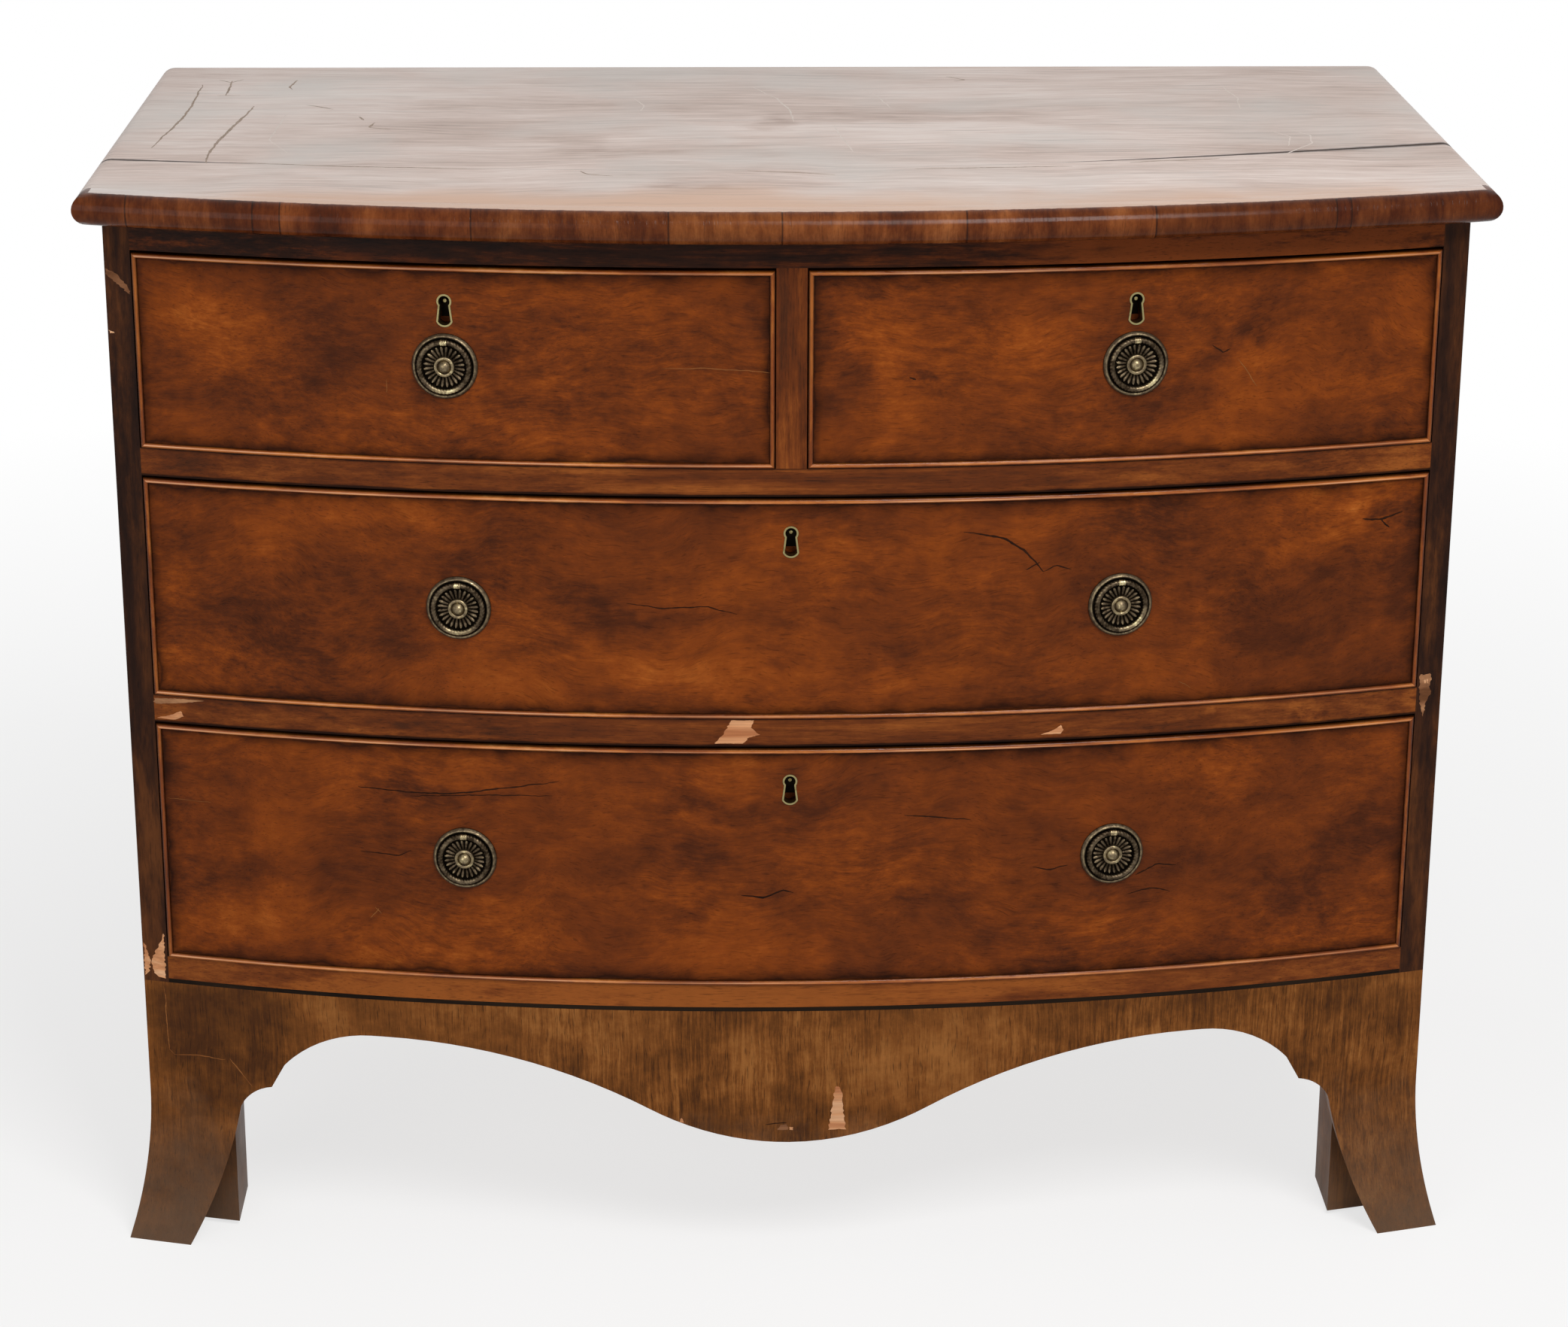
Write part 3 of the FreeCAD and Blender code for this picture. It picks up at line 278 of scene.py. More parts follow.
def bleachedGrain(add, look):
    # Mahogany faded and water-marked to a pale pinkish grey, cooler where damp has lain and warmer along the front
    place = grainPlace(add, "x")
    warped = swirled(add, place, place, 5.0, (0.04, 0.05, 0.0))

    # broad clouds, then streaks about 8 mm and 3 mm wide
    clouds = grainPattern(add, warped, grain["bleachedClouds"], 8.0, 0.62)
    for perMetre, detail, reach in look["streaks"]:
        part = grainPattern(add, warped, perMetre, detail, 0.62)
        lift = add("MapRange", {"Value": part, "From Min": 0.3, "From Max": 0.7, "To Min": -reach, "To Max": reach})
        clouds = add("Math", {0: clouds, 1: lift})
    clouds = stained(add, clouds, place, look["stains"], (0.12, 0.06), (0.3, 1.3))
    colour = add("ValToRGB", {"Fac": clouds}, look["clouds"])

    # damp has left greyer places, and the strip behind the front edge kept more of its red
    damp = add("TexNoise", {"Vector": warped, "Scale": 6.0, "Detail": 5.0})
    cool = add("MapRange", {"Value": damp, "From Min": 0.48, "From Max": 0.68, "To Max": 0.6})
    colour = add("Mix", {"Factor": cool, 6: colour, 7: look["cool"]}, **mixColours)
    y = add("SeparateXYZ", {0: add("TexCoord", output="Object")}, output=1)
    y = add("Math", {0: y, 1: add("MapRange", {"Value": damp, "To Min": -0.08, "To Max": 0.08})})
    warmth = add("MapRange", {"Value": y, "From Min": look["warmFrom"], "From Max": look["warmTo"],
                              "To Min": 0.85, "To Max": 0.0}, interpolation_type="SMOOTHSTEP")
    colour = add("Mix", {"Factor": warmth, 6: colour, 7: look["warm"]}, **mixColours)

    # dark pores in long dashes, drawn about 4 mm wide so that they show at a low angle
    dashes = grainPattern(add, warped, grain["bleachedDashes"], 4.0, 0.7)
    tone = add("MapRange", {"Value": dashes, "From Min": 0.54, "From Max": 0.72, "To Min": 1.0, "To Max": 0.76})
    colour = add("Mix", {"Factor": 1.0, 6: colour, 7: tone}, **multiplyColours)
    return colour, clouds


def bleachedTop(name, look):
    # the pale grain, rubbed nearly matt
    material, add = newMaterial(name)
    colour, clouds = bleachedGrain(add, look)
    # painted shade of the split's walls, with dirt, darkens the boards beside the split in a band that widens where
    # it is more open: the surface map holds the distance from it and how open it is
    away, openness = add("SeparateXYZ", {0: add("UVMap", uv_map="surface")}, output=None)[:2]
    ragged = add("TexNoise", {"Vector": add("TexCoord", output="Object"), "Scale": 60.0, "Detail": 4.0})
    reach = add("Math", {0: openness, 1: ragged}, operation="MULTIPLY")
    least, more = look["splitShadeAndDirt"]
    reach = add("Math", {0: reach, 1: more, 2: least}, operation="MULTIPLY_ADD")
    share = add("Math", {0: add("Math", {0: away}, operation="ABSOLUTE"), 1: reach}, operation="DIVIDE")
    paintedDarkness = add("MapRange", {"Value": share, "From Min": 0.35, "From Max": 1.0, "To Min": 0.9, "To Max": 0.0})
    colour = add("Mix", {"Factor": paintedDarkness, 6: colour, 7: "#2b1c14"}, **mixColours)
    rough = add("MapRange", {"Value": clouds, "From Min": 0.3, "From Max": 0.7, "To Min": 0.4, "To Max": 0.55})
    bump = add("Bump", {"Height": clouds, "Distance": 0.0003, "Strength": 0.4})
    dressShader(material, {"Base Color": colour, "Roughness": rough, "Normal": bump, "IOR": 1.5,
                           "Specular IOR Level": 0.3})
    return material


def plainWood(name, look):
    # Secondary or bare wood, dry and unpolished: soft growth bands, fine streaks and dust
    material, add = newMaterial(name)
    place = grainPlace(add, look["run"])
    rings = grainPattern(add, place, grain["growth"], 4.0, distortion=0.6)
    colour = add("ValToRGB", {"Fac": rings}, look["clouds"])
    fibres = grainPattern(add, place, grain["fibres"], 3.0)
    tone = add("MapRange", {"Value": fibres, "From Min": 0.3, "From Max": 0.7, "To Min": 0.8, "To Max": 1.12})
    colour = add("Mix", {"Factor": 1.0, 6: colour, 7: tone}, **multiplyColours)
    grime = add("TexNoise", {"Vector": place, "Scale": 7.0, "Detail": 5.0})
    grime = add("MapRange", {"Value": grime, "From Min": 0.45, "From Max": 0.75, "To Max": 0.5})
    colour = add("Mix", {"Factor": grime, 6: colour, 7: look["grime"]}, **mixColours)
    rough = add("MapRange", {"Value": rings, "To Min": 0.62, "To Max": 0.85})
    bump = add("Bump", {"Height": fibres, "Distance": 0.0002, "Strength": 0.5})
    dressShader(material, {"Base Color": colour, "Roughness": rough, "Normal": bump,
                           "Specular IOR Level": look.get("sheen", 0.3)})
    return material


def agedMetal(name, look):
    # Cast and stamped brass, lacquer long gone: dark brown in the hollows, rubbed to pale gold on the ridges;
    # filed iron ages the same way in greys
    material, add = newMaterial(name)
    place = add("TexCoord", output="Object")
    tarnish = add("TexNoise", {"Vector": place, "Scale": 260.0, "Detail": 5.0, "Roughness": 0.65})
    if look["rubbed"] == "uv":
        # the second number of the surface map is how much a place stands proud; on the hoops it also holds a painted
        # highlight
        proud = add("SeparateXYZ", {0: add("UVMap", uv_map="surface")}, output=1)
    else:
        proud = add("MapRange", {"Value": add("NewGeometry", output="Pointiness"), "From Min": 0.45,
                                 "From Max": 0.58})
    share = add("MapRange", {"Value": tarnish, "From Min": 0.25, "From Max": 0.75, "To Min": -0.3, "To Max": 0.3})
    brightening = add("Math", {0: proud, 1: share}, use_clamp=True)
    colour = add("ValToRGB", {"Fac": brightening}, look["tones"])
    if "deep" in look:
        # painted shade inside the keyhole, nearly black: none up to 4 mm behind the face of the drawer, all from 9 mm
        forward = add("VectorMath", {0: place, 1: (0, bow["axisY"], 0)}, operation="SUBTRACT")
        forward = add("VectorMath", {0: forward, 1: (1, 1, 0)}, operation="MULTIPLY")
        forward = add("VectorMath", {0: forward}, output="Value", operation="LENGTH")
        full, clear = look["deep"]
        paintedDarkness = add("MapRange", {"Value": forward, "From Min": bow["radius"] - full * mm,
                                "From Max": bow["radius"] - clear * mm, "To Min": 0.96, "To Max": 0.0})
        colour = add("Mix", {"Factor": paintedDarkness, 6: colour, 7: "#0d0a08"}, **mixColours)
    rough = add("MapRange", {"Value": brightening, "To Min": look["rough"][1], "To Max": look["rough"][0]})
    pits = add("TexNoise", {"Vector": place, "Scale": 900.0, "Detail": 3.0})
    bump = add("Bump", {"Height": add("Math", {0: tarnish, 1: pits}), "Distance": 0.00012, "Strength": 0.6})
    dressShader(material, {"Base Color": colour, "Roughness": rough, "Normal": bump, "Metallic": 1.0})
    return material


# pieces
def joinGrids(name, grids, creaseAngle=35):
    # each grid is (points, wrapV, uv, caps): quads join point (i, j) to (i + 1, j + 1), a wrapped v meets its
    # start, and caps close the two ends of u with one face each
    places, uvs, faces, start = [], [], [], 0
    for points, wrapV, uv, caps in grids:
        nu, nv = points.shape[:2]
        i, j = np.meshgrid(np.arange(nu - 1), np.arange(nv if wrapV else nv - 1), indexing="ij")
        nextJ = (j + 1) % nv
        quads = np.stack([i * nv + j, i * nv + nextJ, (i + 1) * nv + nextJ, (i + 1) * nv + j], -1).reshape(-1, 4)
        faces += (quads + start).tolist()
        if caps:
            faces += [(start + np.arange(nv)[::-1]).tolist(), (start + (nu - 1) * nv + np.arange(nv)).tolist()]
        places.append(points.reshape(-1, 3))
        uvs.append((np.zeros((nu, nv, 2)) if uv is None else uv).reshape(-1, 2))
        start += nu * nv
    return meshPiece(name, np.concatenate(places), faces, np.concatenate(uvs), creaseAngle)


def meshPiece(name, places, faces, uv, creaseAngle=35):
    # a mesh of those places and faces, seams welded, faces turned outward, smooth up to the crease angle
    mesh = bpy.data.meshes.new(name)
    mesh.from_pydata(places.tolist(), [], faces)
    loops = np.empty(len(mesh.loops), dtype=np.int32)
    mesh.loops.foreach_get("vertex_index", loops)
    layer = mesh.uv_layers.new(name="surface")
    layer.data.foreach_set("uv", uv[loops].astype(np.float32).ravel())
    work = bmesh.new()
    work.from_mesh(mesh)
    bmesh.ops.remove_doubles(work, verts=work.verts, dist=2e-6)
    bmesh.ops.dissolve_degenerate(work, edges=work.edges, dist=1e-7)
    bmesh.ops.recalc_face_normals(work, faces=work.faces)
    work.to_mesh(mesh)
    work.free()
    mesh.shade_smooth()
    mesh.set_sharp_from_angle(angle=math.radians(creaseAngle))
    piece = bpy.data.objects.new(name, mesh)
    bpy.context.scene.collection.objects.link(piece)
    return piece


def finishPiece(piece, material, body, replaced=()):
    # the piece's material, the body it moves with, its slot, and the nodes it stands for
    piece.data.materials.append(material)
    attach(piece, body)
    if replaced:
        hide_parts(*replaced)


# cockbeads: a half-round nose carried round the drawer's edge, mitred at the corners
def beadStrips(low, high):
    # nose: offset = w/2 (1 - cos a), out = p - w/2 + w/2 sin a, with a from 0 to pi; a strip's ends are cut
    # back by the offset, so x = lerp(x0 + offset, x1 - offset, t) and y = bowY(x, out)
    half = bead["width"] / 2
    turn = np.linspace(0, math.pi, bead["noseSteps"])
    offset = np.concatenate([[0], half * (1 - np.cos(turn)), [2 * half]])
    out = np.concatenate([[-bead["depth"]], bead["projection"] - half + half * np.sin(turn), [-bead["depth"]]])
    grids = []
    for side in range(4):
        steps = bead["longSteps"] if side < 2 else bead["shortSteps"]
        t = np.linspace(0, 1, steps)[:, None]
        ends = (low.x + offset, high.x - offset) if side < 2 else (low.z + offset, high.z - offset)
        along = ends[0] + (ends[1] - ends[0]) * t
        across = [high.z - offset, low.z + offset, low.x + offset, high.x - offset][side] + 0 * t
        x, z = (along, across) if side < 2 else (across, along)
        points = np.stack([x, bowY(x, out + 0 * t), z], -1)
        uv = np.stack([along, offset + 0 * t + bead["sideStep"] * side], -1)
        grids.append((points, True, uv, True))
    return grids


# the top: a slab with half-round sides, and its front lipping with a half-round nose; the split's route is
# (x, y) in mm, each of its gaps is (side, start in m, length in m, power, widest in mm), a streak is (cells per
# metre along and across the grain, detail, strength), and a block of the lipping is (where it starts in mm, tone)
top = dict(thickness=24 * mm, sideOverhang=17.5 * mm, frontOverhang=32 * mm, lipping=26 * mm,
           noseSteps=16, longSteps=120, markHeight=0.06 * mm,
           split=[(-523, -89), (-422, -112), (-200, -127), (85, -133), (300, -91), (523, -39)],
           gaps=[(-1, 0.4, 0.122, 0.8, 2.6), (1, 0.2, 0.322, 0.9, 4.2)],
           bleached=dict(clouds=[(0.2, "#977b6c"), (0.36, "#b9a296"), (0.5, "#cdb9af"), (0.66, "#dccdc5"),
                                 (0.82, "#e2d7d0")],
                         streaks=[((8, 120), 6.0, 0.07), ((20, 330), 5.0, 0.13)], cool="#c4beb8",
                         splitShadeAndDirt=(0.3 * mm, 11 * mm), warm="#c69f84", warmFrom=-260 * mm, warmTo=-190 * mm, stains=[
                             (-5, 45, 50, 80, -0.2), (110, 55, 260, 30, -0.14), (-160, -40, 60, 110, -0.12),
                             (-60, -205, 120, 30, -0.16), (-190, 125, 260, 60, -0.08), (200, 100, 300, 60, -0.08),
                             (-420, 120, 240, 400, 0.14), (330, 60, 200, 200, 0.01),
                             (430, 40, 260, 400, -0.08)]),
           paleFrom=(17.2 * mm, 18.6 * mm), jointLine=(0.3 * mm, 0.9 * mm),
           blocks=[(-600, "#e0c8b4"), (-482, "#e0c8b4"), (-388, "#c8a890"), (-368, "#e8cdb6"), (-230, "#e6d2c0"),
                   (-89, "#fff2e0"), (-8, "#f4e2d2"), (124, "#f0dccb"), (261, "#ccb49f"), (395, "#b8988a"),
                   (406, "#c6ad9b")])
top["low"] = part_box("top_board")[0].z
top["backY"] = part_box("top_board")[1].y
top["halfWidth"] = bow["halfWidth"] + top["sideOverhang"]
top["innerOut"] = top["frontOverhang"] - top["lipping"]


def topLipping():
    # section: nose (out = F - r + r cos a, z = zm + r sin a) and the inner face at the same heights; at height z
    # the piece ends at X(z) = w - r + r cos a, and x = t X(z) for the nose, t (w - r) for the inner face
    r, inner = top["thickness"] / 2, top["innerOut"]
    middle = top["low"] + r
    a = np.linspace(-math.pi / 2, math.pi / 2, top["noseSteps"])
    reach = top["halfWidth"] - r + r * np.cos(a)
    noseOut = top["frontOverhang"] - r + r * np.cos(a)
    heights = middle + r * np.sin(a)
    out = np.concatenate([noseOut, 0 * a + inner])
    z = np.concatenate([heights, heights[::-1]])
    t = np.linspace(-1, 1, top["longSteps"] + 1)[:, None]
    x = t * np.concatenate([reach, 0 * a + top["halfWidth"] - r])
    points = np.stack([x, bowY(x, out + 0 * t), z + 0 * t], -1)
    # along the grain: the way round the nose, then back along the top
    around = np.concatenate([r * a, r * math.pi / 2 + top["frontOverhang"] - r - inner + 0 * a])
    grids = [(points, True, np.stack([around + 0 * t, x], -1), False)]
    # each end is ruled from the nose straight back to the inner face, which it meets in a short return
    v = np.linspace(0, 1, 2)[:, None]
    for sign in (-1, 1):
        front, back = bowY(reach, noseOut), bowY(reach, inner)
        ends = np.stack([sign * reach + 0 * v, front + (back - front) * v, heights + 0 * v], -1)
        grids.append((ends, False, np.stack([ends[..., 1] * 0.3, ends[..., 0] + ends[..., 2]], -1), False))
        across = np.stack([0 * a + top["halfWidth"] - r, reach]) * sign
        returns = np.stack([across, bowY(across, inner), heights + 0 * v], -1)
        grids.append((returns, False, None, False))
    return grids


def lippingFinish():
    # Crossbanded mahogany in blocks of several tones; its flat upper side has bleached like the rest of the top
    material = mahogany("crossbandedMahogany", dict(
        run="uv", seed=7.0, swirlSize=60, swirl=3, cloud=(70, 34), clouds=[(0.26, "#32180c"), (0.42, "#532a13"),
        (0.55, "#6f4020"), (0.72, "#8d5a33")], flame=0.015, flecks=0.05, band=14, bands=0.05, streaks=0.04,
        pores=0.25, rough=(0.14, 0.26), sheen=0.09))
    add = partial(addNode, material)
    plain = material.node_tree.nodes["Principled BSDF"].inputs["Base Color"].links[0].from_socket
    around, along = add("SeparateXYZ", {0: add("UVMap", uv_map="surface")}, output=None)[:2]
    # each block has its tone from where it starts, and a dark line marks the joint there
    blocks = plain
    for start, tone in top["blocks"]:
        past = add("Math", {0: along, 1: start * mm}, operation="SUBTRACT")
        inBlock = add("Math", {0: past, 1: 0.0}, operation="GREATER_THAN")
        toned = add("Mix", {"Factor": 1.0, 6: plain, 7: tone}, **multiplyColours)
        blocks = add("Mix", {"Factor": inBlock, 6: blocks, 7: toned}, **mixColours)
        line = add("Math", {0: past}, operation="ABSOLUTE")
        line = add("MapRange", {"Value": line, "From Min": top["jointLine"][0], "From Max": top["jointLine"][1],
                                "To Min": 0.75, "To Max": 0.0})
        blocks = add("Mix", {"Factor": line, 6: blocks, 7: "#1d0d06"}, **mixColours)
    ragged = add("TexNoise", {"Vector": add("TexCoord", output="Object"), "Scale": 160.0, "Detail": 4.0})
    ragged = add("MapRange", {"Value": ragged, "To Min": -1.5 * mm, "To Max": 1.5 * mm})
    edge = add("Math", {0: around, 1: ragged})
    pale = add("MapRange", {"Value": edge, "From Min": top["paleFrom"][0], "From Max": top["paleFrom"][1]})
    dry, _ = bleachedGrain(add, top["bleached"])
    dressShader(material, {"Base Color": add("Mix", {"Factor": pale, 6: blocks, 7: dry}, **mixColours)})
    return material


def topBoard(nearSide, farSide):
    # the upper line goes over the width, (w - r + r cos a, middle + r sin a) at both sides and flat between them,
    # and the lower one mirrors it; four corners at each x, on near(x) and far(x), make the faces and end walls
    r = top["thickness"] / 2
    middle = top["low"] + r
    a = np.linspace(0, math.pi / 2, top["noseSteps"] // 2)
    flat = np.linspace(1, -1, top["longSteps"] + 1)[1:-1] * (top["halfWidth"] - r)
    side = top["halfWidth"] - r + r * np.cos(a)
    x = np.concatenate([side, flat, -side[::-1]])
    rise = np.concatenate([np.sin(a), 0 * flat + 1, np.sin(a[::-1])]) * (r - top["markHeight"])
    near, far = nearSide(x), farSide(x)
    corners = [(near, 1), (far, 1), (far, -1), (near, -1)]
    points = np.stack([np.stack([x, y, middle + sign * rise], -1) for y, sign in corners], 1)
    edge = near if near[0] > topSplit(x)[0] else far
    openness = splitGap(x) / (max(gap[-1] for gap in top["gaps"]) * mm)
    uv = np.stack([np.stack([y - edge, openness], -1) for y, _ in corners], 1)
    return [(points, True, uv, False)]


def topSplit(x):
    # the line along which the top's boards have parted: y is a smooth curve of the fourth degree in x
    fit = np.polyfit(*np.array(top["split"]).T * mm, 4)
    return np.polyval(fit, x)


def splitGap(x):
    # open at both ends and shut in the middle: on each side, widest ((|x| - start) / length) ^ power
    return sum(np.clip((side * x - start) / length, 0, 1) ** power * widest * mm
               for side, start, length, power, widest in top["gaps"])


# ring handles, in millimetres, except the last entry: a height in metres, above which the hoops get the strongest
# painted highlight
handle = dict(plateRadius=24.5, edgeHeight=1.0, rimCrest=(22.4, 3.2), rimInner=20.7, channel=1.3,
              petals=24, petalStart=7.0, petalInner=7.7, petalOuter=15.5, petalLow=1.4, petalHigh=3.6,
              petalWidth=0.43, petalShoulder=0.7, dish=15.9,
              collar=dict(inner=4.3, middle=6.3, outer=7.75, width=1.4, low=3.6, rise=1.2),
              buttonRadius=4.6, buttonHeight=7.0, buttonEdge=3.8, buttonFall=2.4,
              plateRings=[(0.05, 14), (4.5, 16), (7.7, 34), (16.2, 6), (20.6, 22)], stepsPerPetal=12,
              rubbed=dict(low=1.4, rise=2.6, button=0.7, petals=0.78, rim=0.54, ripple=0.08, rimMiddle=22.8),
              ringRadius=18.5, wire=1.9, ringHeight=4.0, ringSteps=260, wireSteps=24, leaves=44, leafHeight=0.045,
              pin=1.5, knuckleWidth=5.0, knuckleRadius=2.4, sideGap=0.3, shank=1.7, shankTail=8.0, nut=9.0,
              nutThickness=3.0, frontThickness=24.0, strongHighlightAbove=0.45)
handle["gapEnd"] = handle["knuckleWidth"] / 2 + handle["sideGap"]
handle["pinUp"] = math.sqrt(handle["ringRadius"] ** 2 - handle["gapEnd"] ** 2)


def fullTurn(steps):
    # angles k 2 pi / steps, without the last, which is the first again
    return np.arange(steps) * 2 * math.pi / steps


def handlePlace(ringNode):
    # middle of the handle: x of the ring's box, and its lowest point plus the ring's outer radius
    low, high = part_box(ringNode)
    return (low.x + high.x) / 2, low.z + (handle["ringRadius"] + handle["wire"]) * mm


def onFace(along, out, up, at):
    # millimetres before the middle of the bow, turned about the bow's axis by asin(x / R) and lifted to z
    turn = math.asin(at[0] / bow["radius"])
    x, y = along * mm, -(bow["radius"] + out * mm)
    return np.stack([x * math.cos(turn) - y * math.sin(turn),
                     bow["axisY"] + x * math.sin(turn) + y * math.cos(turn), up * mm + at[1] + 0 * x], -1)


def plateHeight(r, angle):
    # h(r, b) is the highest of button, b0 - (b0 - b1) (r / rb)^2.4; collar, low + rise sqrt(1 - ((r - rc) / w)^2);
    # dish and channel, level; petal, low + (high - low) (0.45 + 0.55 t) sqrt(1 - (phase / width)^2) with t from
    # its inner to its outer end; and rim, a quarter sine on either side of its crest
    h, c = handle, handle["collar"]
    button = h["buttonHeight"] - ((h["buttonHeight"] - h["buttonEdge"])
                                  * (np.clip(r / h["buttonRadius"], 0, 1)) ** h["buttonFall"])
    button = np.where(r <= h["buttonRadius"], button, 0)
    collar = c["low"] + c["rise"] * np.sqrt(np.clip(1 - ((r - c["middle"]) / c["width"]) ** 2, 0, 1))
    collar = np.where((r > c["inner"]) & (r < c["outer"]), collar, 0)
    dish = np.where(r < h["dish"], h["petalLow"], 0)
    t = np.clip((r - h["petalInner"]) / (h["petalOuter"] - h["petalInner"]), 0, 1)
    phase = (angle * h["petals"] / (2 * math.pi)) % 1 - 0.5
    rounded = np.clip((t - h["petalShoulder"]) / 0.3, 0, 1)
    width = h["petalWidth"] * np.sqrt(np.clip(1 - rounded ** 2, 0.0, 1)) + 1e-4
    ridge = np.clip(1 - (phase / width) ** 2, 0, 1) ** 0.5
    petal = h["petalLow"] + (h["petalHigh"] - h["petalLow"]) * (0.45 + 0.55 * t) * ridge
    petal = np.where((r > h["petalStart"]) & (r < h["petalOuter"]), petal, 0)
    crest, high = h["rimCrest"]
    inside = np.clip((r - h["rimInner"]) / (crest - h["rimInner"]), 0, 1)
    outside = np.clip((h["plateRadius"] - r) / (h["plateRadius"] - crest), 0, 1)
    rim = np.where(r < crest, h["channel"] + (high - h["channel"]) * np.sin(inside * math.pi / 2),
                   h["edgeHeight"] + (high - h["edgeHeight"]) * np.sin(outside * math.pi / 2))
    rim = np.where(r > h["rimInner"], rim, h["channel"])
    return np.maximum.reduce([button, collar, dish, petal, rim])


def backPlate(at):
    # (r sin b, h(r, b), r cos b) over r from the middle to the edge, then down and in under the plate
    rings = handle["plateRings"]
    ends = [start for start, _ in rings[1:]] + [handle["plateRadius"]]
    r = np.unique(np.concatenate([np.linspace(start, end, steps) for (start, steps), end in zip(rings, ends)]))
    rr, aa = np.meshgrid(r, fullTurn(handle["petals"] * handle["stepsPerPetal"]), indexing="ij")
    height = plateHeight(rr, aa)
    # how bright each place is rubbed: by its height, less over the button and collar, and evenly on the rim
    brightening = handle["rubbed"]
    most = np.where(rr < 7.8, brightening["button"], brightening["petals"])
    proud = np.clip((height - brightening["low"]) / brightening["rise"], 0, 1) * most
    onRim = brightening["rim"] + brightening["ripple"] * np.cos((rr - brightening["rimMiddle"]) * 1.3)
    proud = np.where(rr > handle["rimInner"] + 0.4, onRim, proud)
    rr = np.concatenate([rr, rr[-1:], rr[:1] * 0 + rings[0][0]], 0)
    aa = np.concatenate([aa, aa[-1:], aa[:1]], 0)
    height = np.concatenate([height, 0 * height[-1:] + 0.05, 0 * height[:1] + 0.05], 0)
    proud = np.concatenate([proud, proud[-1:] * 0, proud[:1] * 0], 0)
    points = onFace(rr * np.sin(aa), height, rr * np.cos(aa), at)
    return [(points, True, np.stack([rr / 25, proud], -1), True)]


def roundBar(path, radius, at, proud, ridges=None):
    # a tube: at each point of the path, radius (cos b n1 + sin b n2), n1 and n2 square to the path
    ahead = np.gradient(path, axis=0)
    ahead /= np.linalg.norm(ahead, axis=1)[:, None]
    n1 = np.cross(ahead, [0.0, 1.0, 0.0])
    n1 /= np.linalg.norm(n1, axis=1)[:, None]
    n2 = np.cross(ahead, n1)
    b = fullTurn(handle["wireSteps"])
    size = np.broadcast_to(np.asarray(radius, float).reshape(-1, 1), (len(path), len(b))).copy()
    lift = 0 * size
    if ridges is not None:
        lift = ridges(np.arange(len(path))[:, None] / (len(path) - 1), b[None, :])
        size = size * (1 + lift)
    points = path[:, None] + size[..., None] * (np.cos(b)[None, :, None] * n1[:, None]
                                                + np.sin(b)[None, :, None] * n2[:, None])
    uv = np.stack([0 * lift, np.clip(proud + 5 * lift, 0, 1)], -1)
    return onFace(points[..., 0], points[..., 1], points[..., 2], at), True, uv, True


def ringPiece(at):
    # hoop: (R sin b, height, R cos b) from one side of the knuckle to the other; pin: straight between them
    first = math.asin(handle["gapEnd"] / handle["ringRadius"])
    b = np.linspace(first, 2 * math.pi - first, handle["ringSteps"])
    path = np.stack([handle["ringRadius"] * np.sin(b), 0 * b + handle["ringHeight"],
                     handle["ringRadius"] * np.cos(b)], -1)
    # cast leaf pattern: low slanting ridges that fade towards the back of the wire
    ridges = lambda t, b: (handle["leafHeight"] * np.cos(2 * math.pi * handle["leaves"] * t + 2 * b)
                           * (0.5 + 0.5 * np.cos(2 * b)) - 0.01)
    hoop = roundBar(path, handle["wire"], at, 0.5, ridges)
    # painted highlight: the hoop is made brighter at the bottom on left-hand handles and at the lower right on
    # right-hand ones, and a little at the upper left: a bell curve in b round each place, strongest on the higher
    # handles
    below, upperLeft = 2.75 - 0.35 * np.sign(at[0]), 5.4
    bright = 0.46 if at[1] > handle["strongHighlightAbove"] else 0.16
    brightening = bright * np.exp(-((b - below) / 0.7) ** 2) + 0.16 * np.exp(-((b - upperLeft) / 0.5) ** 2)
    uv = hoop[2]
    uv[..., 1] = np.clip(uv[..., 1] + brightening[:, None] - 0.08, 0, 1)
    reach = handle["gapEnd"] + handle["pin"]
    x = np.linspace(-reach, reach, 5)
    pinPath = np.stack([x, 0 * x + handle["ringHeight"], 0 * x + handle["pinUp"]], -1)
    return [hoop, roundBar(pinPath, handle["pin"], at, 0.6)]


def ringPost(at):
    # knuckle: a rounded block of three reeds, R (0.93 + 0.06 |cos(3 pi x / w)|), and a shank through the front
    half = handle["knuckleWidth"] / 2
    x = np.linspace(-half, half, 25)
    path = np.stack([x, 0 * x + handle["ringHeight"], 0 * x + handle["pinUp"]], -1)
    radius = handle["knuckleRadius"] * (0.93 + 0.06 * np.abs(np.cos(3 * math.pi * x / (2 * half))))
    radius[[0, -1]] *= 0.93
    y = np.array([handle["ringHeight"], 0.3, -handle["frontThickness"] - handle["shankTail"]])[:, None]
    b = fullTurn(20)
    shank = onFace(handle["shank"] * np.cos(b) + 0 * y, y + 0 * b,
                   handle["pinUp"] + handle["shank"] * np.sin(b) + 0 * y, at)
    return [roundBar(path, radius, at, 0.8), (shank, True, None, True)]


def shankNut(at):
    # a square nut with softened corners: |x|^8 + |z|^8 = half^8, domed by its inner rings
    half = handle["nut"] / 2
    b = fullTurn(48)
    size = half / (np.abs(np.cos(b)) ** 8 + np.abs(np.sin(b)) ** 8) ** 0.125
    share = np.array([0.4, 0.94, 1.0, 1.0, 0.4])[:, None]
    deep = -handle["frontThickness"] - np.array([0.05, 0.05, 0.4, 0.8, 1.0])[:, None] * handle["nutThickness"]
    points = onFace(share * size * np.cos(b), deep + 0 * b, handle["pinUp"] + share * size * np.sin(b), at)
    return [(points, True, None, True)]


